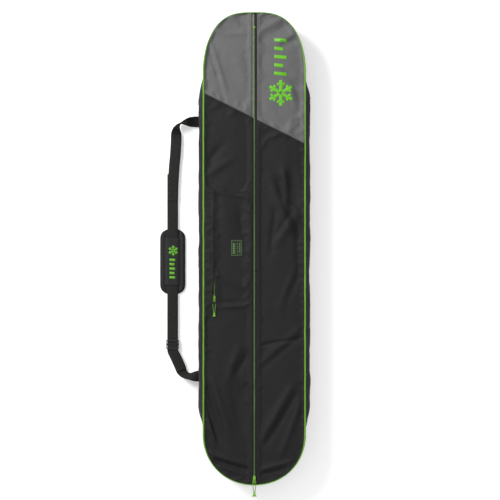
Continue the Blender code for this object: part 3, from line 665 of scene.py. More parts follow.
# Each fold: its two ends as (x, y), how wide it is, how far it stands up (or dips)
FOLDS = [
    ((-0.140, 0.768), (-0.060, 0.762), 0.006, -0.0030),
    ((-0.135, 0.752), (-0.030, 0.752), 0.012, 0.0030),
    ((-0.162, 0.715), (-0.127, 0.610), 0.006, -0.0038),
    ((-0.150, 0.705), (-0.104, 0.560), 0.010, 0.0036),
    ((-0.127, 0.610), (-0.105, 0.520), 0.008, -0.0022),
    ((-0.050, 0.640), (-0.020, 0.560), 0.022, 0.0022),
    ((0.055, 0.745), (0.125, 0.785), 0.016, -0.0042),
    ((0.040, 0.778), (0.100, 0.800), 0.014, 0.0030),
    ((0.095, 0.728), (0.155, 0.757), 0.009, 0.0048),
    ((0.105, 0.712), (0.160, 0.735), 0.009, -0.0040),
    ((0.012, 0.731), (0.068, 0.698), 0.005, -0.0028),
    ((0.112, 0.612), (0.168, 0.566), 0.009, -0.0044),
    ((0.120, 0.628), (0.170, 0.590), 0.010, 0.0030),
    ((0.139, 0.562), (0.172, 0.508), 0.006, -0.0036),
    ((0.128, 0.545), (0.160, 0.470), 0.012, 0.0030),
    ((0.150, 0.520), (0.164, 0.430), 0.014, -0.0044),
    ((0.020, 0.560), (0.050, 0.500), 0.020, 0.0016),
    ((0.104, 0.260), (0.112, 0.165), 0.012, 0.0044),
    ((0.112, 0.165), (0.150, 0.120), 0.012, 0.0036),
    ((0.128, 0.245), (0.140, 0.175), 0.018, -0.0052),
    ((0.092, 0.225), (0.156, 0.068), 0.015, -0.0046),
    ((0.070, 0.200), (0.118, 0.075), 0.014, 0.0034),
    ((0.072, 0.120), (0.060, -0.004), 0.010, -0.0026),
    ((-0.172, 0.2125), (-0.026, 0.1885), 0.0042, -0.0026),
    ((-0.172, 0.2050), (-0.026, 0.1810), 0.0060, 0.0018),
    ((0.083, 0.055), (0.118, 0.115), 0.008, -0.0028),
    ((0.094, 0.040), (0.135, 0.100), 0.018, 0.0034),
    ((0.152, 0.060), (0.160, -0.090), 0.012, -0.0030),
    ((0.112, -0.175), (0.146, -0.100), 0.012, -0.0030),
    ((0.100, -0.190), (0.130, -0.110), 0.014, 0.0026),
    ((-0.050, 0.120), (-0.025, 0.020), 0.014, -0.0026),
    ((-0.110, 0.150), (-0.090, 0.060), 0.026, 0.0026),
    ((-0.120, -0.090), (-0.050, -0.130), 0.016, 0.0026),
    ((-0.110, -0.188), (-0.015, -0.184), 0.006, -0.0020),
    ((-0.115, -0.202), (-0.020, -0.196), 0.010, 0.0022),
    ((-0.160, -0.480), (-0.105, -0.660), 0.012, -0.0036),
    ((-0.145, -0.470), (-0.090, -0.640), 0.014, 0.0036),
    ((-0.060, -0.420), (-0.030, -0.560), 0.018, -0.0024),
    ((-0.174, -0.553), (-0.139, -0.673), 0.010, 0.0036),
    ((-0.160, -0.560), (-0.128, -0.660), 0.008, -0.0040),
    ((-0.072, -0.500), (-0.050, -0.600), 0.020, -0.0040),
    ((-0.046, -0.512), (-0.014, -0.463), 0.010, -0.0034),
    ((-0.062, -0.425), (-0.026, -0.370), 0.012, -0.0034),
    ((-0.085, -0.440), (-0.060, -0.360), 0.014, 0.0030),
    ((-0.165, 0.300), (-0.120, 0.350), 0.012, -0.0030),
    ((-0.150, 0.268), (-0.100, 0.300), 0.012, 0.0028),
    ((0.015, -0.339), (0.160, -0.312), 0.006, -0.0030),
    ((-0.150, -0.716), (-0.040, -0.752), 0.010, 0.0040),
    ((-0.140, -0.738), (-0.030, -0.768), 0.008, -0.0030),
    ((-0.120, -0.757), (-0.040, -0.786), 0.008, 0.0026),
    ((0.030, -0.655), (0.120, -0.500), 0.014, 0.0040),
    ((0.050, -0.665), (0.135, -0.520), 0.010, -0.0034),
    ((0.100, -0.700), (0.160, -0.540), 0.012, 0.0034),
    ((0.020, -0.420), (0.150, -0.310), 0.012, -0.0026),
    ((0.030, -0.400), (0.150, -0.290), 0.016, 0.0026),
    ((0.030, -0.770), (0.120, -0.745), 0.010, 0.0036),
    ((0.030, -0.785), (0.110, -0.765), 0.007, -0.0026),
]


# How much higher the folds stand than listed, in the grey cloth and in the black
FOLD_RISE, BLACK_RISE = 1.75, 2.60
# How high each half crowns, how far from the ends that fades, and how far a seam holds the cloth flat
CROWN, END_FADE, SEAM_HOLD = 0.0062, 0.12, 0.014
# Puckers beside the piping and beside the zip: how high, how far in, and over what width
EDGE_PUCKER, EDGE_PUCKER_AT, EDGE_PUCKER_WIDE = 0.0018, 0.010, 0.011
ZIP_PUCKER, ZIP_PUCKER_AT, ZIP_PUCKER_WIDE = 0.0016, 0.008, 0.009
# The lowest that the cloth may dip below its seams, at them and away from them
DIP_AT_SEAM, DIP_MORE = 0.0005, 0.0045


def fold_height(x, y):
    """The sum of the folds at a point, each with soft ends and sides."""
    total = 0.0
    for (x0, y0), (x1, y1), wide, high in FOLDS:
        dx, dy = x1 - x0, y1 - y0
        long = math.hypot(dx, dy)
        along = ((x - x0) * dx + (y - y0) * dy) / long
        off = ((x - x0) * dy - (y - y0) * dx) / long
        over = max(-along, along - long, 0.0)
        middle = 1 - 0.5 * abs(along / long - 0.5)
        fade = math.exp(-((off / wide) ** 2) - (over / (wide * 2.2)) ** 2)
        total += (FOLD_RISE if y > SEAM_MIDDLE else BLACK_RISE) * high * middle * fade
    return total


def front_height(x, y):
    """How high the front's outer face stands over its seams."""
    edge = cloth_edge(math.copysign(1, x), y)
    inner = abs(x) - SLOT
    outer = edge - abs(x)
    room = max(min(inner, outer), 0.0)
    share = min(max(inner / max(edge - SLOT, 1e-4), 0.0), 1.0)
    crown = CROWN * math.sin(math.pi * share) ** 0.7 * min(1.0, (HALF_LENGTH - abs(y)) / END_FADE)
    hold = 1 - math.exp(-((room / SEAM_HOLD) ** 2))
    folds = fold_height(x, y) * hold
    soft = 0.0016 * wobble((x, y), 14, 1.0) * hold + 0.0009 * wobble((x, y), 34, 2.0) * hold
    near_edge = math.exp(-((outer - EDGE_PUCKER_AT) / EDGE_PUCKER_WIDE) ** 2) if outer > 0 else 0.0
    near_zip = math.exp(-((inner - ZIP_PUCKER_AT) / ZIP_PUCKER_WIDE) ** 2) if inner > 0 else 0.0
    pucker = EDGE_PUCKER * wobble((x * 0.3, y), 55, 3.0) * near_edge
    pucker += ZIP_PUCKER * wobble((x * 0.6, y), 62, 4.0) * near_zip
    over_pocket = x < 0 and POCKET_SLOT_LOW - 0.02 < y < POCKET_SLOT_HIGH + 0.02
    lowest = -DIP_AT_SEAM if over_pocket else -DIP_AT_SEAM - DIP_MORE * hold
    return max(crown + folds + soft + pucker, lowest)


def pocket_gap(y):
    """Half the gap between the cloth edges over the pocket zip: closed above, open below."""
    shut, opens, starts, full = 0.0004, 0.0042, 0.055, 0.150
    return shut + opens * float(ease(np.array(-y), starts, full))


# ---------------------------------------------------------------- the front's cloth


def snap(values, wanted):
    """Moves the nearest value onto each wanted one."""
    for target in wanted:
        values[int(np.argmin(np.abs(values - target)))] = target
    return values


def end_share(x, y):
    """1 at the rounded ends, where the cloth hides most of the piping, 0 along the sides."""
    ends = ease(np.array(abs(y)), 0.64, 0.76)
    shoulder = 0.45 * ease(np.array(y), 0.20, 0.34) * (1 - ease(np.array(y), 0.50, 0.64)) if x > 0 else 0.0
    return float(np.maximum(ends, shoulder))


def cloth_edge(side, y):
    """Where the front's cloth meets the piping."""
    share = end_share(side, y)
    return float(half_width_at(y, EDGE_SIDE) * (1 - share) + half_width_at(y, EDGE_END) * share)


def lip_at(side, y):
    """How far the cloth's edge stands from the zip's middle: further where it is grey, on the left."""
    if side > 0:
        return LIP_RIGHT
    return LIP_LEFT + 0.0030 * float(ease(np.array(y), SEAM_MIDDLE - 0.006, SEAM_MIDDLE + 0.006))


def front_grid(side):
    """Points over one half of the front, row by row from the tail to the nose."""
    nose, tail = ([spot[1] for spot in curve(EDGE_END, 34)][1:-1] for curve in (nose_curve, tail_curve))
    ys = np.array(tail[::-1] + side_ys(0.0062) + nose)
    slots = [POCKET_SLOT_LOW, POCKET_LOW.y, POCKET_HIGH.y, POCKET_SLOT_HIGH]
    ys = snap(ys, slots + [SEAM_MIDDLE, POCKET_SPLIT, LIFT_SPLIT])
    lean = SEAM_SLOPE * ease(ys, 0.21, SEAM_MIDDLE) * (1 - ease(ys, SEAM_MIDDLE, 0.75))
    lip = LIP_LEFT if side < 0 else LIP_RIGHT
    marks = [lip, -POCKET_HINGE_X, -POCKET_ZIP_X - 0.0052, -POCKET_ZIP_X + 0.0052, PANEL_EDGE]
    shares = [(mark - lip) / (PANEL_EDGE - lip) for mark in marks]
    cells = (2, 20, 2, 6)  # from the zip to the pocket, over the pocket, over its zip, to the piping
    columns = []
    for count, start, end in zip(cells, shares, shares[1:]):
        columns += [start + (end - start) * j / count for j in range(count)]
    columns.append(1.0)
    points = np.zeros((len(ys), len(columns), 3))
    for k, y0 in enumerate(ys):
        inner = lip_at(side, y0)
        in_slot = side < 0 and POCKET_SLOT_LOW - 1e-6 <= y0 <= POCKET_SLOT_HIGH + 1e-6
        for j, share in enumerate(columns):
            x, y = HALF_WIDTH * share, y0
            for _ in range(6):
                y = y0 + lean[k] * side * x
                x = inner + max(cloth_edge(side, y) - inner, 0.0005) * share
            if in_slot and j == cells[0] + cells[1]:
                x = -POCKET_ZIP_X - pocket_gap(y0)
            elif in_slot and j == sum(cells[:3]):
                x = -POCKET_ZIP_X + pocket_gap(y0)
            points[k, j] = side * x, y, FRONT_Z + front_height(side * x, y)
    points[int(np.argmin(np.abs(ys - SEAM_MIDDLE))), :, 2] -= 0.0010
    return ys, points, cells


def settle(verts, faces, pinned, frames=26, cap=0.0075, grow=-0.030, bending=1.2):
    """Lets a cloth find its own creases: it is cut a little large and held at its seams."""
    cloth = piece_from("settling_cloth", verts, faces, "lining")
    group = cloth.vertex_groups.new(name="seams")
    group.add([int(k) for k in np.nonzero(pinned)[0]], 1.0, "REPLACE")
    step = cloth.modifiers.new("cloth", "CLOTH")
    settings = step.settings
    settings.quality = 5
    settings.mass = 0.25
    settings.tension_stiffness = settings.compression_stiffness = 25
    settings.shear_stiffness = 12
    settings.bending_stiffness = bending
    settings.vertex_group_mass = "seams"
    settings.shrink_min = grow
    settings.use_pressure = True
    settings.uniform_pressure_force = 0.35
    settings.effector_weights.gravity = 0.15
    settings.air_damping = 4
    step.collision_settings.use_collision = False
    step.collision_settings.use_self_collision = False
    scene = bpy.context.scene
    step.point_cache.frame_start = 1
    step.point_cache.frame_end = frames
    for number in range(1, frames + 1):
        scene.frame_set(number)
    graph = bpy.context.evaluated_depsgraph_get()
    moved = cloth.evaluated_get(graph).data
    places = np.empty(len(verts) * 3)
    moved.vertices.foreach_get("co", places)
    moves = places.reshape(-1, 3) - verts
    length = np.linalg.norm(moves, axis=1, keepdims=True)
    scene.frame_set(1)
    bpy.data.objects.remove(cloth, do_unlink=True)
    return verts + moves * np.minimum(1.0, cap / np.maximum(length, 1e-9))


def settled_grid(points, pinned):
    rows, columns = points.shape[:2]
    corner = [k * columns + j for k in range(rows - 1) for j in range(columns - 1)]
    faces = [[c, c + 1, c + columns + 1, c + columns] for c in corner]
    return settle(points.reshape(-1, 3), faces, pinned.reshape(-1)).reshape(points.shape)


FRONT_SHEETS = []


def lift(piece, side, low_part):
    """Bakes a piece's place into its mesh, without bending it with its half of the front."""
    start, end = TAIL_LIFT if low_part else NOSE_LIFT
    "front_left" if side < 0 else "front_right"
    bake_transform(piece)
    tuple(start)
    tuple(end)


def front_cloth(side):
    """One half of the front as a single cloth, then taken apart where its colours or joints part."""
    word = "left" if side < 0 else "right"
    ys, points, cells = front_grid(side)
    rows, columns = points.shape[:2]
    pinned = np.zeros((rows, columns), bool)
    pinned[:, 0] = pinned[:, -1] = pinned[0] = pinned[-1] = True
    seam_row = int(np.argmin(np.abs(ys - SEAM_MIDDLE)))
    pinned[seam_row] = True
    zip_right, zip_left = cells[0] + cells[1], sum(cells[:3])
    inside = (ys >= POCKET_SLOT_LOW - 1e-6) & (ys <= POCKET_SLOT_HIGH + 1e-6)
    if side < 0:
        pinned[inside, zip_right : zip_left + 1] = True
        pinned[inside, cells[0]] = True
    points = settled_grid(points, pinned)
    near_zip = np.abs(points[..., 0]) < LIP_RIGHT + 0.012
    over_tape = np.maximum(points[..., 2], FRONT_Z - 0.0010)
    points[..., 2] = np.where(near_zip, over_tape, points[..., 2])
    middle = (ys[:-1] + ys[1:]) / 2
    keep = np.ones((rows - 1, columns - 1), bool)
    part = np.where(middle > ys[seam_row], 0, np.where(middle > LIFT_SPLIT, 1, 2))
    part = part[:, None] + np.zeros_like(keep, int)
    if side < 0:
        keep[(middle > POCKET_SLOT_LOW) & (middle < POCKET_SLOT_HIGH), zip_right:zip_left] = False
        mouth = (middle > POCKET_LOW.y) & (middle < POCKET_HIGH.y)
        part[mouth, cells[0] : zip_right] = np.where(middle > POCKET_SPLIT, 3, 4)[mouth, None]
    whole = grid_piece(f"front_{word}", points, ("black_cloth",) * 10, keep)
    face_up(whole)
    kept = [(k, j) for k in range(rows - 1) for j in range(columns - 1) if keep[k, j]]
    for face, cell in zip(whole.data.polygons, kept):
        face.material_index = 2 * part[cell]
    thicken(whole, CLOTH, 1)
    FRONT_SHEETS.append(surface_of(whole))
    names = (
        (f"nose_cloth_{word}", "grey_cloth", [f"nose_panel_{word}"]),
        (f"front_cloth_{word}_upper", "black_cloth", [f"front_panel_{word}"]),
        (f"front_cloth_{word}_lower", "black_cloth", [f"tail_panel_{word}"]),
        ("pocket_cloth_upper", "black_cloth", ["pocket_panel"]),
        ("pocket_cloth_lower", "black_cloth", []),
    )
    for number, (name, finish, nodes) in enumerate(names[: 5 if side < 0 else 3]):
        sheet = taken_out(name, whole, number, finish)
        declare(points, keep & (part == number))
        if number > 2:
            gape(sheet, number == 3)
        else:
            lift(sheet, side, number == 2)
        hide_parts(*nodes)
    bpy.data.objects.remove(whole, do_unlink=True)


def close_cuts(body):
    """Joins the two layers of a cloth where it was cut."""
    cuts = [edge for edge in body.edges if edge.is_boundary]
    upper = [edge for edge in cuts if edge.link_faces[0].normal.z > 0.3]
    under = {vert for edge in cuts if edge.link_faces[0].normal.z < -0.3 for vert in edge.verts}
    under = sorted(under, key=lambda vert: vert.index)
    tree = KDTree(len(under))
    for k, vert in enumerate(under):
        tree.insert(vert.co, k)
    tree.balance()
    for edge in cuts:
        edge.smooth = False
    for edge in upper:
        a, b = edge.verts
        c, d = (under[tree.find(vert.co)[1]] for vert in (b, a))
        if len({a, b, c, d}) == 4:
            body.faces.new((a, b, c, d))
    left = [edge for edge in body.edges if edge.is_boundary]
    bmesh.ops.holes_fill(body, edges=left, sides=6)
    bmesh.ops.recalc_face_normals(body, faces=body.faces)


def taken_out(name, whole, number, finish):
    """One part of the front's cloth as its own piece."""
    body = bmesh.new()
    body.from_mesh(whole.data)
    others = [face for face in body.faces if face.material_index // 2 != number]
    bmesh.ops.delete(body, geom=others, context="FACES")
    for face in body.faces:
        face.material_index %= 2
    close_cuts(body)
    return poured(name, body, finish, "inner_coating")


def declare(points, keep):
    """Measures the size a panel is cut to over its flat pattern, and keeps none of it."""
    rows, columns = np.nonzero(keep)
    flat = points[..., :2]
    panel = flat[rows.min() : rows.max() + 2, columns.min() : columns.max() + 2]
    width, length = (float(np.ptp(panel[..., axis])) for axis in (0, 1))
    area = 0.0
    for k, j in zip(rows, columns):
        a, b, c, d = flat[k, j], flat[k, j + 1], flat[k + 1, j + 1], flat[k + 1, j]
        area += abs((c[0] - a[0]) * (d[1] - b[1]) - (c[1] - a[1]) * (d[0] - b[0])) / 2
    room = width * length
    area = min(max(area, 0.31 * room), room)


def surface_of(piece):
    """The piece's surface, for laying other pieces on it."""
    corners = [vert.co.copy() for vert in piece.data.vertices]
    return BVHTree.FromPolygons(corners, [tuple(face.vertices) for face in piece.data.polygons])


def on_front(x, y, lift_by=0.0):
    """The point of the front's outer face at x, y, and its normal."""
    for surface in FRONT_SHEETS:
        spot, normal, _, _ = surface.ray_cast(Vector((x, y, FRONT_Z + 0.1)), Vector((0, 0, -1)))
        if spot is not None:
            if normal.z < 0:
                normal = -normal
            return spot + normal * lift_by, normal
    return Vector((x, y, FRONT_Z + lift_by)), Vector((0, 0, 1))


# ---------------------------------------------------------------- camera, floor and light


def plan_view():
    """Straight down on the bag, from far enough that it shows with little perspective."""
    height, span, sensor = 6.0, 1.7425, 36
    data = bpy.data.cameras.new("camera")
    data.sensor_width = sensor
    data.lens = sensor * height / span
    data.clip_end = 50
    camera = bpy.data.objects.new("camera", data)
    camera.location = (-0.0150, -0.0044, FRONT_Z + height)
    bpy.context.scene.collection.objects.link(camera)
    bpy.context.scene.camera = camera


def lamp(name, place, aim, size, power):
    data = bpy.data.lights.new(name, "AREA")
    data.shape, data.size, data.energy = "DISK", size, power
    light = bpy.data.objects.new(name, data)
    light.location = place
    light.rotation_euler = (Vector(aim) - Vector(place)).to_track_quat("-Z", "Y").to_euler()
    bpy.context.scene.collection.objects.link(light)


def studio():
    """A pale floor that reaches far past the bag, even light all round, and two lamps."""
    floor = bpy.data.meshes.new("floor")
    reach, under = 12.0, -0.001
    corners = [(x * reach, y * reach, under) for x, y in ((-1, -1), (1, -1), (1, 1), (-1, 1))]
    floor.from_pydata(corners, [], [(0, 1, 2, 3)])
    floor.materials.append(floor_finish())
    linked("floor", floor)
    world = bpy.data.worlds.new("studio")
    world.use_nodes = True
    world.node_tree.nodes["Background"].inputs["Color"].default_value = (1, 1, 1, 1)
    world.node_tree.nodes["Background"].inputs["Strength"].default_value = 0.55
    bpy.context.scene.world = world
    bpy.context.scene.view_settings.view_transform = "Standard"
    lamp("key", (-2.8, 2.2, 2.4), (0, 0, 0.1), 1.9, 200)
    lamp("fill", (2.4, -1.6, 3.4), (0, 0, 0.1), 2.6, 34)


# ---------------------------------------------------------------- zip pulls

# How long each slider is, and how far its eye stands back from its middle
SLIDER_LENGTH = {"main": 0.0215, "pocket": 0.0190}
EYE_BACK = {"main": 0.0240 / 6, "pocket": 0.0190 / 6}
# One leg of each pull's loop and its bend round the eye, as (x, y) from the eye
MAIN_PULL = [(0.0022, -0.0440), (0.0036, -0.0300), (0.0052, -0.0160), (0.0052, -0.0060)]
MAIN_BEND = [(0.0037, -0.0018), (0.0, 0.0)]
POCKET_PULL = [(0.0018, -0.0500), (0.0030, -0.0360), (0.0046, -0.0180), (0.0044, -0.0055)]
POCKET_BEND = [(0.0031, -0.0016), (0.0, 0.0)]


def pull_route(eye, leg, bend):
    """Down one leg of the loop, through the eye and up the other."""
    right = [(x, y, 0) for x, y in leg + bend]
    left = [(-x, y, 0) for x, y in reversed(leg + bend[:-1])]
    return [eye + Vector(p) for p in right + left]


def grip_piece(name, eye, start, size):
    """A moulded wedge with a notched end, ribbed across, with a collar where the cord goes in."""
    length, width, thick = size
    near, far = width * 0.42, width
    half = [(near, 0.0), (near * 1.15, -0.35), (far, -1.0), (far * 0.42, -0.88)]
    shape = [(x / 2, start + a * length) for x, a in half]
    shape += [(-x / 2, start + a * length) for x, a in reversed(half)]
    body = bmesh.new()
    rings = []
    for z in (-thick / 2, thick / 2):
        rings.append([body.verts.new(eye + Vector((x, y, z))) for x, y in shape])
    for j in range(len(shape)):
        k = (j + 1) % len(shape)
        body.faces.new((rings[0][j], rings[0][k], rings[1][k], rings[1][j]))
    body.faces.new(rings[0][::-1])
    body.faces.new(rings[1])
    bmesh.ops.recalc_face_normals(body, faces=body.faces)
    piece = poured(name, body, "grip")
    bevel(piece, thick * 0.24, 4, 30)
    apply_all(piece)
    ribs = []
    for k in range(4):
        share = 0.30 + 0.13 * k
        wide = (near + (far - near) * share) * 0.70
        for side in (-1, 1):
            middle = eye + Vector((0, start - length * share, side * (thick / 2 + 0.00002)))
            ends = [middle + Vector((x * wide / 2, 0, 0)) for x in (-1, -0.5, 0, 0.5, 1)]
            ribs.append(tube(f"{name}_rib", ends, thick * 0.07, "grip", 8))
    collar_path = [eye + Vector((0, start + t * 0.0032, 0)) for t in (-0.4, 0.3, 0.7, 1.0)]
    collar = tube(f"{name}_collar", collar_path, thick * 0.42, "grip", 16)
    grip = joined(name, [piece, *ribs, collar])
    shade_between(grip, 40)
    return grip


def shade_between(piece, angle):
    """Smooth faces, with sharp edges where they meet at more than this many degrees."""
    piece.data.shade_smooth()
    piece.data.set_sharp_from_angle(angle=math.radians(angle))


def pull(name, leg, bend, diameter, grip_size):
    """A cord looped through the slider's eye, with a moulded grip over its ends."""
    x, y = (middle_of(f"{name}_slider", axis) for axis in (0, 1))
    eye = Vector((x, y - EYE_BACK[name], middle_of(f"{name}_pull_cord", 2)))
    route = smooth_path(pull_route(eye, leg, bend), 5)
    cord = tube(f"{name}_zip_cord", route, diameter / 2, "cord", 12)
    long = sum((b - a).length for a, b in zip(route, route[1:]))
    grip = grip_piece(f"{name}_zip_grip", eye, leg[0][1], grip_size)
    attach(cord, f"{name}_pull")
    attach(grip, f"{name}_pull")
    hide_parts(f"{name}_pull_cord")
    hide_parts(f"{name}_pull_grip")
    tuple(route[0])
    [tuple(p) for p in route]
    return eye


# ---------------------------------------------------------------- zips


def coil_row(name, x0, ys, top_z, side, wide, high=0.0020, pitch=0.00165):
    """One row of coil turns sewn on its tape, as rounded loops lying across the zip."""
    verts, faces, places = [], [], []
    steps = 6
    section = ((-1, 0), (-0.5, 0.85), (0.5, 0.85), (1, 0), (0.5, -0.85), (-0.5, -0.85))
    for y in np.arange(ys[0] + pitch / 2, ys[1] - pitch / 2, pitch):
        first = len(verts)
        for k in range(steps + 1):
            t = k / steps
            arch = high * 0.45 * math.sin(math.pi * (t * 0.92 + 0.04)) ** 0.55
            centre = Vector((x0 + side * wide * t, y + 0.0004 * t, top_z - high / 2 + arch))
            size = pitch * (0.40 if 0 < k < steps else 0.24)
            for u, v in section:
                verts.append(centre + Vector((0, u * size, v * size)))
                places.append((centre.x, y))
        for k in range(steps):
            for j in range(6):
                here, there = first + 6 * k, first + 6 * k + 6
                faces.append([here + j, here + (j + 1) % 6, there + (j + 1) % 6, there + j])
        faces.append([first + j for j in range(5, -1, -1)])
        faces.append([first + 6 * steps + j for j in range(6)])
    row = piece_from(name, verts, faces, "coil", places)
    tidy_normals(row)
    return row


def tidy_normals(piece):
    """Turns every face of a closed piece outwards."""
    body = bmesh.new()
    body.from_mesh(piece.data)
    bmesh.ops.recalc_face_normals(body, faces=body.faces)
    body.to_mesh(piece.data)
    body.free()


def tape_strip(name, x_from, x_to, ys, z, finish="tape", thick=0.0007):
    """A woven zip tape lying flat, very slightly wavy."""
    long = int((ys[1] - ys[0]) / 0.008) + 2
    points = np.zeros((long, 5, 3))
    for k, y in enumerate(np.linspace(ys[0], ys[1], long)):
        for j, t in enumerate((0, 0.08, 0.5, 0.92, 1)):
            x = x_from + (x_to - x_from) * t
            points[k, j] = x, y, z + 0.0002 * wobble((x * 10, y), 60, 7.0)
    strip = grid_piece(name, points, finish)
    face_up(strip)
    thicken(strip, thick, 0, 0)
    return strip


def main_zip():
    """Both coils and tapes of the main zip, each in a nose part and a tail part, and its stops."""
    low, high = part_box("zip_tail_left")[0].y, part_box("zip_nose_left")[1].y
    coil_low, coil_high = 0.0003, 0.0024
    top = FRONT_Z - 0.0014
    tape_end = HALF_LENGTH - 0.0045
    for side, word in ((-1, "left"), (1, "right")):
        lip = LIP_LEFT if side < 0 else LIP_RIGHT
        for part, ys in (("upper", (LIFT_SPLIT, high)), ("lower", (low, LIFT_SPLIT))):
            low_part = part == "lower"
            wide = coil_high - coil_low
            coil = coil_row(f"main_zip_coil_{word}_{part}", side * coil_low, ys, top, side, wide)
            tape_ys = (low - 0.006, LIFT_SPLIT) if low_part else (LIFT_SPLIT, tape_end)
            finish = "two_tone_tape" if side < 0 else "tape"
            outer = side * (lip + 0.007)
            inner, name = side * 0.0001, f"main_zip_tape_{word}_{part}"
            tape = tape_strip(name, inner, outer, tape_ys, top - 0.0016, finish)
            for piece in (coil, tape):
                lift(piece, side, low_part)
            nodes = [f"zip_tail_{word}"] if low_part else [f"zip_nose_{word}", f"zip_middle_{word}"]
            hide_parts(*nodes)
    for word in ("nose", "tail"):
        stop_piece(f"main_zip_{word}_stop", f"zip_{word}_stop", 0.0, "shell", top)


def stop_piece(name, node, x, body, top):
    """A staple clamped over both coils."""
    low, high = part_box(node)
    length, half = high.y - low.y, (high.x - low.x) / 2 * 0.85
    centre = (x, (low.y + high.y) / 2, top - 0.0006)
    piece = block(name, centre, (half * 2, length, 0.0028), "slider_paint", 0.0008)
    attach(piece, body)
    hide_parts(node)


def block(name, centre, size, finish, round_by):
    """A small rounded block."""
    body = bmesh.new()
    bmesh.ops.create_cube(body, size=1)
    for vert in body.verts:
        vert.co = Vector([c + v * s for c, v, s in zip(centre, vert.co, size)])
    piece = poured(name, body, finish)
    bevel(piece, round_by, 4)
    apply_all(piece)
    shade_between(piece, 45)
    return piece


def slider(name, eye, half, cord):
    """A zip slider: two shield-shaped plates round the coils, joined by a nose, with a bail on top."""
    length, middle = SLIDER_LENGTH[name], middle_of(f"{name}_slider", 1)
    top = eye.z - cord / 2 - (0.0036 if name == "main" else 0.0006)
    shield = [(0.62, 0.5), (0.80, 0.36), (1.0, 0.05), (1.0, -0.36), (0.80, -0.50)]
    half_shape = [(eye.x + half * x, middle + length * y) for x, y in shield]
    shape = half_shape + [(2 * eye.x - x, y) for x, y in reversed(half_shape)]
    pieces = []
    for word, z0, z1 in (("top", top - 0.0015, top), ("under", top - 0.0062, top - 0.0050)):
        sections = [[Vector((x, y, z)) for x, y in shape] for z in (z0, z1)]
        plate = swept(f"{name}_zip_slider_{word}", sections, "slider_paint")
        bevel(plate, 0.0005, 3)
        apply_all(plate)
        pieces.append(plate)
    wedge_at = (eye.x, middle + length * 0.30, top - 0.0030)
    pieces.append(block("wedge", wedge_at, (0.0016, 0.0060, 0.0060), "slider_paint", 0.0004))
    crown = eye.z + cord / 2 + 0.0013
    reach = cord / 2 + 0.0016
    bail = [(reach + 0.0012, top - 0.0004), (reach + 0.0006, top + 0.0009), (reach * 0.8, crown - 0.0009)]
    bail += [(0.0, crown), (-reach * 0.8, crown - 0.0009), (-reach - 0.0006, top + 0.0009)]
    bail += [(-reach - 0.0012, top - 0.0004)]
    path = smooth_path([(eye.x, eye.y + y, z) for y, z in bail], 5)
    pieces.append(tube("bail", path, 0.0009, "slider_paint", 10))
    body = joined(f"{name}_zip_slider", pieces)
    shade_between(body, 35)
    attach(body, f"{name}_slider")
    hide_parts(f"{name}_slider")


def pocket_zip():
    """The pocket's zip: the outer coil whole, the inner coil in its sewn ends and its moving stretch."""
    low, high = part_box("pocket_zip_outer")
    top = FRONT_Z - 0.0012
    mouth_low, mouth_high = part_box("pocket_zip_inner")[0].y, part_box("pocket_zip_inner")[1].y
    wide, near = 0.0028, 0.0002
    rows = (
        ("outer", -1, (low.y, high.y), ["pocket_zip_outer"], "front_left"),
        ("low_end", 1, (low.y, mouth_low), ["pocket_zip_low_end"], "front_left"),
        ("high_end", 1, (mouth_high, high.y), ["pocket_zip_high_end"], "front_left"),
        ("inner_upper", 1, (POCKET_SPLIT, mouth_high), ["pocket_zip_inner"], "upper"),
        ("inner_lower", 1, (mouth_low, POCKET_SPLIT), [], "lower"),
    )
    for word, side, ys, nodes, body in rows:
        start, end = POCKET_ZIP_X + side * near, POCKET_ZIP_X + side * 0.0085
        coil = coil_row(f"pocket_zip_coil_{word}", start, ys, top, side, wide, 0.0015)
        tape = tape_strip(f"pocket_zip_tape_{word}", start, end, ys, top - 0.0016)
        for piece in (coil, tape):
            if body == "front_left":
                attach(piece, body)
            else:
                gape(piece, body == "upper")
        if nodes:
            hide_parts(*nodes)
    for end in ("low", "high"):
        stop_piece(f"pocket_zip_{end}_stop", f"pocket_{end}_stop", POCKET_ZIP_X, "front_left", top)


def gape(piece, upper):
    """Bakes a piece's place into its mesh, without bending it with the pocket's front."""
    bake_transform(piece)


# ---------------------------------------------------------------- shell


def ring_frame(inset, steps=44):
    """Points of the outline and the outward direction at each."""
    here, further = outline(inset, steps), outline(inset + 0.001, steps)
    found = []
    for (x, y), (u, v) in zip(here, further):
        out = Vector((x - u, y - v))
        if out.length < 1e-9:
            out = Vector((0, math.copysign(1, y)))
        found.append((Vector((x, y, 0)), Vector((out.x, out.y, 0)).normalized()))
    return found


def side_share(y):
    """1 along the straight sides, fading to 0 at the rounded ends."""
    fade, y = 0.10, np.array(y)
    rise, fall = ease(y, TAIL_START, TAIL_START + fade), ease(y, NOSE_START - fade, NOSE_START)
    return float(rise * (1 - fall))


# How far the gusset bulges along the sides and at the ends, and how loose it is at the ends
SIDE_BULGE, END_BULGE, END_LOOSE = 0.0170, 0.0004, 0.22
# The heights of its rows of points, as shares of its depth
GUSSET_ROWS = [0, 0.035, 0.09, 0.17, 0.28, 0.40, 0.52, 0.64, 0.75, 0.85, 0.93, 0.975, 1]


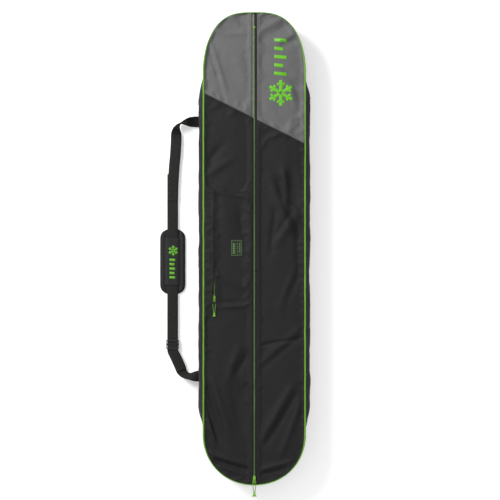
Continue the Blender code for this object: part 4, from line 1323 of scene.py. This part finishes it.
def gusset():
    """One long band round the bag, bulging along the sides, with soft buckles that run down it."""
    frame_points = ring_frame(0.0012)
    low = 0.0005
    height = GUSSET_TOP + 0.0016 - low
    girth = travelled([place for place, _ in frame_points])
    verts, places = [], []
    for k, (place, out) in enumerate(frame_points):
        along_side = side_share(place.y)
        bulge = SIDE_BULGE * along_side + END_BULGE
        loose = END_LOOSE + (1 - END_LOOSE) * along_side
        for share in GUSSET_ROWS:
            z = low + height * share
            swell = math.sin(math.pi * share ** 1.4) ** 0.8
            slant = noise.noise(Vector((place.x * 11 + z * 9, place.y * 11 - z * 16, 4.0)))
            ruck = noise.noise(Vector((place.x * 27 - z * 16, place.y * 27 + z * 22, 8.0)))
            dent = 0.0200 * max(slant - 0.02, 0.0) + 0.0060 * max(ruck, 0.0)
            dent *= max(math.sin(math.pi * min(share / 0.60, 1.0)), 0.0) ** 0.7
            buckle = 0.0022 * noise.noise(Vector((place.x * 9, place.y * 16 + z * 7, z * 9)))
            buckle += 0.0008 * noise.noise(Vector((place.x * 22, place.y * 38 - z * 20, z * 14 + 5)))
            crease = 0.0010 * math.exp(-(((share - 0.92) / 0.05) ** 2)) * wobble(place, 55, 9.0)
            off = bulge * swell + (buckle * swell + crease) * loose - dent
            verts.append(place + out * off + Vector((0, 0, z)))
            places.append((girth[k], z))
    count, rows = len(frame_points), len(GUSSET_ROWS)
    faces = []
    for k in range(count):
        for j in range(rows - 1):
            here, after = k * rows, (k + 1) % count * rows
            faces.append([here + j, after + j, after + j + 1, here + j + 1])
    held = np.array([share in (0, 1) for _ in frame_points for share in GUSSET_ROWS])
    verts = settle(np.array([tuple(v) for v in verts]), faces, held, 24, 0.0016, -0.015, 0.8)
    band = piece_from("gusset_cloth", verts, faces, ("gusset_cloth", "inner_coating"), places)
    tidy_normals(band)
    thicken(band, CLOTH, 1)
    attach(band, "shell")
    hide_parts("gusset_left", "gusset_right", "gusset_nose", "gusset_tail")


def piping():
    """Lime bias tape round a cord, sewn in the seam between front and gusset, slightly uneven."""
    sections = []
    for place, out in ring_frame(PIPING_RADIUS, 44):
        share = end_share(place.x, place.y)
        radius = PIPING_RADIUS * (1 - 0.42 * share + 0.08 * wobble(place, 12, 5.0))
        drift = PIPING_RADIUS - radius + 0.0007 * wobble(place, 22, 3.0) * (1 - share)
        lift_by = 0.0006 * wobble(place, 26, 8.0) + 0.0003 * wobble(place, 90, 1.0)
        centre = place + out * drift + Vector((0, 0, FRONT_Z + lift_by))
        turns = [2 * math.pi * j / 14 for j in range(14)]
        ring = [centre + (out * math.cos(a) + Vector((0, 0, 1)) * math.sin(a)) * radius for a in turns]
        sections.append(ring)
    cord = swept("edge_piping", sections, "piping", closed=True)
    round_off(cord, 1)
    apply_all(cord)
    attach(cord, "shell")
    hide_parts("front_piping")


def across_bag(inset, columns=33, spacing=0.014):
    """A grid over the whole outline, from side to side."""
    nose, tail = ([spot[1] for spot in curve(inset, 18)][1:-1] for curve in (nose_curve, tail_curve))
    ys = tail[::-1] + side_ys(spacing) + nose
    points = np.zeros((len(ys), columns, 3))
    for k, y in enumerate(ys):
        wide = max(float(half_width_at(y, inset)), 0.001)
        for j in range(columns):
            share = -1 + 2 * j / (columns - 1)
            points[k, j] = wide * math.sin(share * math.pi / 2), y, 0.0
    return points


def back_panel():
    """The back, lying flat and very slightly uneven."""
    points = across_bag(0.0012)
    for spot in points.reshape(-1, 3):
        spot[2] = 0.0022 + 0.0005 * wobble(spot, 14, 11.0) + 0.0003 * wobble(spot, 40, 12.0)
    sheet = grid_piece("back_cloth", points, ("inner_coating", "black_cloth"))
    face_up(sheet)
    thicken(sheet, 0.0016, 1, 0)
    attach(sheet, "shell")
    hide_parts("back_panel")
    cells = points[1:, 1:, :2] - points[:-1, :-1, :2]
    area = float(np.abs(cells[..., 0] * (points[1:, :-1, 1] - points[:-1, :-1, 1])).sum())


def pocket_bag():
    """The pocket's inner bag: a slack pouch hanging from the zip's tapes."""
    low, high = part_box("pocket_liner")

    def place(u, v):
        u, v = -1 + 2 * u, -1 + 2 * v
        u, v = math.copysign(abs(u) ** 0.6, u), math.copysign(abs(v) ** 0.6, v)
        x = low.x + (high.x - low.x) * (u + 1) / 2
        y = low.y + (high.y - low.y) * (v + 1) / 2
        deep = (1 - abs(u) ** 7) * (1 - abs(v) ** 16)
        sag = (high.z - low.z - 0.0012) * deep ** 0.6
        crease = 0.0016 * deep * (wobble((x, y), 22, 2.0) + 0.6 * wobble((x, y), 50, 6.0))
        return x, y, high.z - 0.0002 - sag + crease

    pouch = grid_piece("pocket_inner_bag", grid_of(46, 20, place), "lining")
    face_up(pouch)
    thicken(pouch, 0.0008)
    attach(pouch, "front_left")
    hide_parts("pocket_liner")


# ---------------------------------------------------------------- stitches, marks and label


def path_on_front(spots, lift_by=0.00012, step=0.004):
    """A polyline through (x, y) spots, laid on the cloth as (point, normal)."""
    found = []
    for (x0, y0), (x1, y1) in zip(spots, spots[1:]):
        count = max(int(math.hypot(x1 - x0, y1 - y0) / step), 1)
        for k in range(count):
            t = k / count
            found.append(on_front(x0 + (x1 - x0) * t, y0 + (y1 - y0) * t, lift_by))
    found.append(on_front(*spots[-1], lift_by))
    return found


def side_line(side, inset, low, high):
    """Spots along the outline, in from its edge, on one side between two heights."""
    return [(side * x, y) for x, y in outline(inset, 40) if x > 0.012 and low <= y <= high]


def stitching():
    """Rows of stitches beside every seam of the front, in the colour of their cloth."""
    tail_end = -0.812
    for side, word in ((-1, "left"), (1, "right")):
        lip = LIP_LEFT if side < 0 else LIP_RIGHT
        seam_xs = (lip + 0.002, 0.08, PANEL_EDGE - 0.004)
        seam = [(side * x, SEAM_MIDDLE + SEAM_SLOPE * side * x) for x in seam_xs]
        edge_seam = SEAM_MIDDLE + SEAM_SLOPE * side * HALF_WIDTH
        nose_x, zip_x = side * (lip_at(side, HALF_LENGTH) + 0.003), side * (lip + 0.003)
        grey = [
            [(nose_x, y) for y in (SEAM_MIDDLE + 0.008, HALF_LENGTH - 0.008)],
            side_line(side, 0.0100, edge_seam + 0.006, HALF_LENGTH),
            [(x, y + 0.0032) for x, y in seam],
        ]
        upper = [
            [(zip_x, y) for y in (LIFT_SPLIT + 0.002, SEAM_MIDDLE - 0.006)],
            side_line(side, 0.0100, LIFT_SPLIT, edge_seam - 0.006),
            [(x, y - 0.0040) for x, y in seam],
        ]
        lower = [
            [(zip_x, y) for y in (tail_end, LIFT_SPLIT - 0.002)],
            side_line(side, 0.0100, -HALF_LENGTH, LIFT_SPLIT),
        ]
        for part, lines in (("nose", grey), ("upper", upper), ("lower", lower)):
            thread, cloth = ("grey_thread", "grey_cloth") if part == "nose" else ("thread", "black_cloth")
            rows = [stitch_row("stitch", path_on_front(line), thread) for line in lines]
            row = joined(f"front_stitching_{word}_{part}", rows)
            lift(row, side, part == "lower")
    outer, foot, head = POCKET_ZIP_X - 0.0078, POCKET_SLOT_LOW - 0.003, POCKET_SLOT_HIGH + 0.004
    lines = (
        [(outer, foot), (outer, head), (POCKET_HINGE_X, head)],
        [(outer, foot), (POCKET_HINGE_X, foot)],
        [(-0.168, 0.2155), (-LIP_LEFT - 0.020, 0.1922)],
    )
    rows = [stitch_row("pocket_frame", path_on_front(line), "thread") for line in lines]
    frame_row = joined("pocket_frame_stitching", rows)
    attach(frame_row, "front_left")
    inner = POCKET_ZIP_X + 0.0085
    upper, lower = (POCKET_SPLIT + 0.002, POCKET_HIGH.y - 0.002), (POCKET_LOW.y + 0.002, POCKET_SPLIT - 0.002)
    for word, ys in (("upper", upper), ("lower", lower)):
        path = path_on_front([(inner, y) for y in ys])
        row = stitch_row(f"pocket_edge_stitching_{word}", path, "thread")
        gape(row, word == "upper")


def patch(name, corners, finish, thick=0.0002, cell=0.003, lay=None):
    """A thin four-sided patch, lying on the front's cloth or on another surface."""
    a, b, c, d = [Vector(p) for p in corners]
    rows = max(int((d - a).length / cell), 1) + 1
    columns = max(int((b - a).length / cell), 1) + 1
    lay = lay or (lambda x, y: on_front(x, y, thick)[0])

    def place(u, v):
        spot = (a * (1 - u) + b * u) * (1 - v) + (d * (1 - u) + c * u) * v
        return lay(spot.x, spot.y)

    piece = grid_piece(name, grid_of(rows, columns, place), finish)
    face_up(piece)
    thicken(piece, thick, 0, 0)
    return piece


def slanted_bar(x0, y0, x1, y1, wide):
    """Corners of a bar between two points."""
    ahead = Vector((x1 - x0, y1 - y0)).normalized() * (wide / 2)
    side = Vector((-ahead.y, ahead.x))
    ends = ((x0, y0, 1), (x0, y0, -1), (x1, y1, -1), (x1, y1, 1))
    return [(x + side.x * way, y + side.y * way) for x, y, way in ends]


def mark(name, middle, reach, finish, lay=None, thick=0.0002):
    """A plain snow-crystal mark: six arms, each with one pair of twigs."""
    pieces = []

    def bar(base, turn, near, far, wide):
        ahead = Vector((math.cos(turn), math.sin(turn))) * reach
        corners = slanted_bar(*(base + ahead * near), *(base + ahead * far), reach * wide)
        pieces.append(patch("bar", corners, finish, thick, 0.003, lay))
        return ahead

    for k in range(6):
        turn = math.radians(60 * k + 30)
        arm = bar(Vector(middle), turn, 0.10, 1.0, 0.26)
        for bend in (-1, 1):
            bar(Vector(middle) + arm * 0.56, turn + bend * math.radians(58), 0.09, 0.34, 0.20)
    return joined(name, pieces)


def front_marks():
    """The print on the grey nose: a snow crystal with a stack of plain bars above it."""
    crystal = mark("nose_mark", (0.0930, 0.5430), 0.0450, "print")
    lift(crystal, 1, False)
    bars = []
    low, high, count, tall = 0.6020, 0.7350, 5, 0.016
    gap = (high - low - count * tall) / (count - 1)
    y = low
    for k in range(count):
        x0, x1 = 0.0700, (0.1130, 0.1010)[k % 2]
        corners = [(x0, y + 0.004), (x1, y), (x1, y + tall - 0.004), (x0, y + tall)]
        bars.append(patch("bar", corners, "print"))
        y += tall + gap
    stack = joined("nose_bars", bars)
    lift(stack, 1, False)


def pocket_tag():
    """The woven label on the pocket: a cloth tag with a thin frame and plain bar columns."""
    low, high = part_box("pocket_label")
    pieces = []
    corners = [(low.x, low.y), (high.x, low.y), (high.x, high.y), (low.x, high.y)]
    tag = patch("tag", corners, "label", 0.0007)
    raised = lambda x, y: on_front(x, y, 0.0010)[0]
    inset, line = 0.0022, 0.0011
    x0, x1, y0, y1 = low.x + inset, high.x - inset, low.y + inset, high.y - inset
    edges = [((x0, y0), (x1, y0)), ((x1, y0), (x1, y1)), ((x1, y1), (x0, y1)), ((x0, y1), (x0, y0))]
    for a, b in edges:
        pieces.append(patch("frame", slanted_bar(*a, *b, line), "label_print", 0.0003, 0.003, raised))
    # Columns of bars: how far across the tag, how wide and how tall
    columns = ((0.24, 0.0078, 0.0052), (0.58, 0.0011, 0.0100), (0.82, 0.0034, 0.0064))
    for k, (share, wide, tall) in enumerate(columns):
        x = x0 + (x1 - x0) * share
        y = y0 + 0.006 + 0.002 * k
        while y + tall < y1 - 0.004:
            bar = slanted_bar(x, y, x, y + tall, wide)
            pieces.append(patch("bar", bar, "label_print", 0.0003, 0.003, raised))
            y += tall + 0.0022
    label = joined("pocket_tag", [tag, *pieces])
    gape(label, True)
    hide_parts("pocket_label")


# ---------------------------------------------------------------- shoulder strap

# Routes as (out from the bag's side, y, z, bank in degrees); bank lifts the outer edge.
UPPER_ROUTE = [
    (0.0022, 0.4490, 0.0040, 0),
    (0.0200, 0.4495, 0.0055, 4),
    (0.0450, 0.4480, 0.0130, 28),
    (0.0660, 0.4455, 0.0200, 66),
    (0.0795, 0.4425, 0.0215, 86),
    (0.0885, 0.4340, 0.0207, 72),
    (0.0940, 0.4200, 0.0165, 42),
    (0.0958, 0.4030, 0.0110, 12),
    (0.0964, 0.3800, 0.0098, 0),
    (0.0990, 0.3350, 0.0098, 0),
    (0.1030, 0.2900, 0.0098, 0),
    (0.1058, 0.2450, 0.0098, 0),
    (0.1076, 0.2050, 0.0098, 0),
    (0.1082, 0.1700, 0.0098, 0),
]
LOWER_ROUTE = [
    (0.1086, 0.2640, 0.0075, 0),
    (0.1086, 0.1000, 0.0075, 0),
    (0.1086, -0.2000, 0.0075, 0),
    (0.1086, -0.3450, 0.0075, 0),
    (0.1076, -0.3620, 0.0075, 0),
    (0.0945, -0.3900, 0.0075, 3),
    (0.0820, -0.4180, 0.0085, 10),
    (0.0775, -0.4300, 0.0105, 20),
    (0.0690, -0.4405, 0.0145, 38),
    (0.0585, -0.4475, 0.0175, 52),
    (0.0470, -0.4510, 0.0180, 54),
    (0.0330, -0.4515, 0.0150, 34),
    (0.0180, -0.4505, 0.0085, 10),
    (0.0022, -0.4505, 0.0040, 0),
]
FREE_END_ROUTE = [
    (0.1082, -0.3560, 0.0110, 0),
    (0.1070, -0.3640, 0.0110, 0),
    (0.0945, -0.3900, 0.0110, 3),
    (0.0820, -0.4180, 0.0122, 10),
    (0.0775, -0.4290, 0.0144, 20),
]


def webbing_piece(name, route, node, steps=8):
    """A woven band along a route, banked as the route says, with rounded selvedges."""
    places = smooth_path([(-(HALF_WIDTH + out), y, z) for out, y, z, bank in route], steps)
    banks = smooth_path([(math.radians(bank), 0, 0) for out, y, z, bank in route], steps)
    half, thick = WEBBING_WIDTH / 2, WEBBING_THICK / 2
    shape = [(-1, -0.5), (-0.97, -1), (-0.5, -0.86), (0, -0.84), (0.5, -0.86), (0.97, -1), (1, -0.5)]
    shape += [(1, 0.5), (0.97, 1), (0.5, 0.86), (0, 0.84), (-0.5, 0.86), (-0.97, 1), (-1, 0.5)]
    sections = []
    for k, (place, bank) in enumerate(zip(places, banks)):
        ahead = places[min(k + 1, len(places) - 1)] - places[max(k - 1, 0)]
        outer = Vector((ahead.y, -ahead.x, 0)).normalized()
        wide = outer * math.cos(bank.x) + Vector((0, 0, 1)) * math.sin(bank.x)
        up = ahead.cross(wide).normalized()
        if up.z < 0:
            wide, up = -wide, -up
        ring = []
        for u, v in shape:
            ripple = 0.00025 * wobble((place.x + u * 0.01, place.y), 30, 6.0)
            ring.append(place + wide * (u * half) + up * (v * thick + ripple))
        sections.append(ring)
    girth = [half + u * half for u, v in shape] + [0.0]
    band = swept(name, sections, "webbing", girth=girth)
    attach(band, "strap")
    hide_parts(node)


def strap_stitches(name, centre, size, z):
    """A sewn box with its cross."""
    x, y = centre
    w, h = size[0] / 2, size[1] / 2
    up = (0, 0, 1)
    lines = [[(-w, -h), (w, -h), (w, h), (-w, h), (-w, -h)], [(-w, -h), (w, h)], [(-w, h), (w, -h)]]
    rows = []
    for k, line in enumerate(lines):
        path = []
        for (x0, y0), (x1, y1) in zip(line, line[1:]):
            for t in range(8):
                path.append((Vector((x + x0 + (x1 - x0) * t / 8, y + y0 + (y1 - y0) * t / 8, z)), up))
        path.append((Vector((x + line[-1][0], y + line[-1][1], z)), up))
        rows.append(stitch_row(f"{name}_{k}", path, "thread", 0.0026, 0.0020, 0.00035))
    return joined(name, rows)


def pad_edge(inset, steps=14):
    """The pad's outline with well-rounded ends."""
    low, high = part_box("pad_binding")
    half, reach = (high.x - low.x) / 2 - inset, (high.y - low.y) / 2 - inset
    middle = (high.y + low.y) / 2
    end = (high.x - low.x) * 0.42 - inset
    quarter = []
    for k in range(steps + 1):
        turn = math.pi / 2 * k / steps
        x = 0.0 if k == steps else half * math.cos(turn) ** 0.8
        quarter.append((x, reach - end + end * math.sin(turn) ** 0.8))
    run = [(half, (reach - end) * k / 5) for k in range(5)]
    quarter = run + quarter
    upper = quarter + [(-x, y) for x, y in reversed(quarter[:-1])]
    lower = [(-x, -y) for x, y in upper]
    return [(STRAP_X + x, middle + y) for x, y in upper + lower[1:-1]]


# The pad's bound edge in section: share of the way out, and height
BINDING_SHAPE = [(0, 0.0054), (0.45, 0.0062), (0.85, 0.0054), (1, 0.0034)]
BINDING_SHAPE += [(0.85, 0.0012), (0.45, 0.0004), (0, 0.0006)]


def pad():
    """A foam pad quilted in bays beside the webbing, with a bound edge and its stitches; the sleeve over the
    webbing is made in pad_sleeve.
    """
    low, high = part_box("pad_foam")
    middle = (low.y + high.y) / 2
    rings = 14
    verts, places, faces = [], [], []
    edge = pad_edge(0.004)
    count = len(edge)

    def pad_top(x, y):
        off = abs(x - STRAP_X)
        run = 1 - float(ease(np.array(off), 0.0205, 0.0265))
        room = max(0.042 - off, 0.0) / 0.0155
        bay = math.sin(math.pi * min(room, 1.0)) ** 0.6 if off < 0.042 else 0
        channel = 1 - 0.5 * math.exp(-(((y - middle + 0.117 / 2) % 0.0585 - 0.02925) / 0.004) ** 2)
        return (0.0050 + 0.0036 * bay * channel) * (1 - run) + 0.0050 * run + 0.0003 * wobble((x, y), 60, 4.0)

    for layer in (1, -1):
        for ring in range(rings + 1):
            t = 1 - (ring / rings) ** 1.3
            for x, y in edge:
                ry = middle + (y - middle) * t
                rx = STRAP_X + (x - STRAP_X) * t
                z = pad_top(rx, ry) if layer > 0 else 0.0006 + 0.0018 * (ring == 0)
                if ring == 0 and layer > 0:
                    z = 0.0042
                verts.append((rx, ry, z))
                places.append((rx, ry))
    layer_size = (rings + 1) * count
    for layer in (0, 1):
        for ring in range(rings):
            for j in range(count):
                k = (j + 1) % count
                base = layer * layer_size + ring * count
                faces.append([base + j, base + k, base + count + k, base + count + j])
    for j in range(count):
        k = (j + 1) % count
        faces.append([j, k, layer_size + k, layer_size + j])
    foam = piece_from("pad_foam_cloth", verts, faces, "pad_cloth", places)
    body = bmesh.new()
    body.from_mesh(foam.data)
    bmesh.ops.remove_doubles(body, verts=body.verts, dist=1e-5)
    bmesh.ops.recalc_face_normals(body, faces=body.faces)
    body.to_mesh(foam.data)
    body.free()
    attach(foam, "strap_pad")
    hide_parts("pad_foam")

    outer = pad_edge(0.0010)
    inner = pad_edge(0.0072)
    sections = []
    for (x, y), (u, v) in zip(outer, inner):
        out, into = Vector((x, y, 0)), Vector((u, v, 0))
        ring = []
        for a, z in BINDING_SHAPE:
            spot = into + (out - into) * a
            spot.z = z + 0.0003 * wobble(spot, 120, 3.0)
            ring.append(spot)
        sections.append(ring)
    edge_band = swept("pad_bound_edge", sections, "binding", closed=True)
    round_off(edge_band, 1)
    apply_all(edge_band)
    path = [(Vector((x, y, 0.0062)), (0, 0, 1)) for x, y in pad_edge(0.0058)]
    rows = stitch_row("pad_edge_stitching", path, "thread")
    for piece in (edge_band, rows):
        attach(piece, "strap_pad")
    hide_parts("pad_binding")


def sleeve_height(off):
    """The sleeve's outer face: flat on the pad at its edges, over the webbing in the middle."""
    return 0.0066 + 0.0037 * (1 - float(ease(np.array(abs(off)), 0.0165, 0.0275)))


def pad_sleeve():
    """The patch that the webbing runs under, with its stitches, its snow crystal and its bars."""
    low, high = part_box("pad_cover")
    half = (high.x - low.x) / 2

    def place(u, v):
        u = -1 + 2 * u
        y = low.y + (high.y - low.y) * v
        puff = 0.0006 * math.sin(math.pi * v) * (1 - u * u) + 0.0004 * wobble((u * 0.04, y), 45, 1.0)
        return STRAP_X + half * u, y, sleeve_height(half * u) + puff

    sleeve = grid_piece("pad_sleeve", grid_of(44, 23, place), "pad_cloth")
    face_up(sleeve)
    surface = surface_of(sleeve)
    thicken(sleeve, 0.0012)

    def lay(x, y, thick=0.0003):
        """The point on the sleeve at x, y."""
        return surface.ray_cast(Vector((x, y, 0.1)), Vector((0, 0, -1)))[0] + Vector((0, 0, thick))

    rows = []
    for side in (-1, 1):
        x, run = STRAP_X + side * (half - 0.003), high.y - low.y - 0.004
        rows.append([(x, low.y + 0.002 + run * k / 30) for k in range(31)])
    for y in (low.y + 0.003, high.y - 0.003):
        rows.append([(STRAP_X + (half - 0.003) * (k / 10 - 1), y) for k in range(21)])
    paths = [[(lay(x, y, 0.0002), (0, 0, 1)) for x, y in row] for row in rows]
    rows_piece = joined("pad_sleeve_stitching", [stitch_row("sleeve_row", path, "thread") for path in paths])
    crystal = mark("pad_mark", (STRAP_X + 0.0025, -0.0070), 0.0185, "pad_print", lay)
    bars = []
    for k in range(5):
        y = -0.0400 - 0.0155 * k
        wide = (0.0100, 0.0075)[k % 2]
        x = STRAP_X - 0.0008
        x0, x1 = x - 0.0100, x + wide
        corners = [(x0, y - 0.0035), (x1, y - 0.0045), (x1, y + 0.0045), (x0, y + 0.0055)]
        bars.append(patch("bar", corners, "pad_print", 0.0002, 0.003, lay))
    bars = joined("pad_bars", bars)
    for piece in (sleeve, rows_piece, crystal, bars):
        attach(piece, "strap_pad")
    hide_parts("pad_cover")


def glide():
    """The tri-glide: side rails, end bars over the webbing and a middle bar under it, made plain without its
    knurling.
    """
    low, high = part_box("tri_glide")
    middle, size = (low + high) / 2, high - low
    rail = 0.0022
    across = size.x - rail
    pieces = []
    for side in (-1, 1):
        x = STRAP_X + side * (size.x / 2 - rail / 2)
        pieces.append(block("rail", (x, middle.y, middle.z), (rail, size.y, size.z), "buckle", 0.0008))
        y = middle.y + side * (size.y / 2 - 0.0022)
        end_at = (STRAP_X, y, high.z - 0.0013)
        pieces.append(block("end_bar", end_at, (across, 0.0044, 0.0026), "buckle", 0.0009))
    middle_at = (STRAP_X, middle.y, low.z + 0.0013)
    pieces.append(block("middle_bar", middle_at, (across, 0.0060, 0.0025), "buckle", 0.0006))
    buckle = joined("strap_tri_glide", pieces)
    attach(buckle, "strap_glide")
    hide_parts("tri_glide")


def strap():
    """The webbing in its upper, lower and free lengths, and the two sewn boxes that join them."""
    webbing_piece("strap_upper_band", UPPER_ROUTE, "strap_upper_webbing")
    webbing_piece("strap_lower_band", LOWER_ROUTE, "strap_lower_webbing")
    webbing_piece("strap_tail_band", FREE_END_ROUTE, "strap_free_end")
    flat_height = UPPER_ROUTE[-1][2]
    top = flat_height + WEBBING_THICK / 2 + 0.0002
    for name, y in (("strap_join_low_stitches", 0.1860), ("strap_join_high_stitches", 0.2480)):
        box = strap_stitches(name, (STRAP_X + 0.0015, y), (0.030, 0.024), top)
        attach(box, "strap")


# ---------------------------------------------------------------- all together


def carried_over():
    """The seam bindings inside keep their own shape."""
    for node in ("front_seam_binding", "back_seam_binding"):
        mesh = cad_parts[node].data
        mesh.materials.clear()
        mesh.materials.append(FINISHES["inside_tape"])


def main():
    """Camera and cords first, then everything else; marks come after the cloth they lie on."""
    plan_view()
    main_eye = pull("main", MAIN_PULL, MAIN_BEND, 0.0025, (0.0150, 0.0170, 0.0042))
    pocket_eye = pull("pocket", POCKET_PULL, POCKET_BEND, 0.0020, (0.0110, 0.0110, 0.0026))
    studio()
    front_cloth(-1)
    front_cloth(1)
    main_zip()
    pocket_zip()
    slider("main", main_eye, 0.0048, 0.0025)
    slider("pocket", pocket_eye, 0.0046, 0.0020)
    gusset()
    piping()
    back_panel()
    pocket_bag()
    stitching()
    front_marks()
    pocket_tag()
    strap()
    pad()
    pad_sleeve()
    glide()
    carried_over()


main()
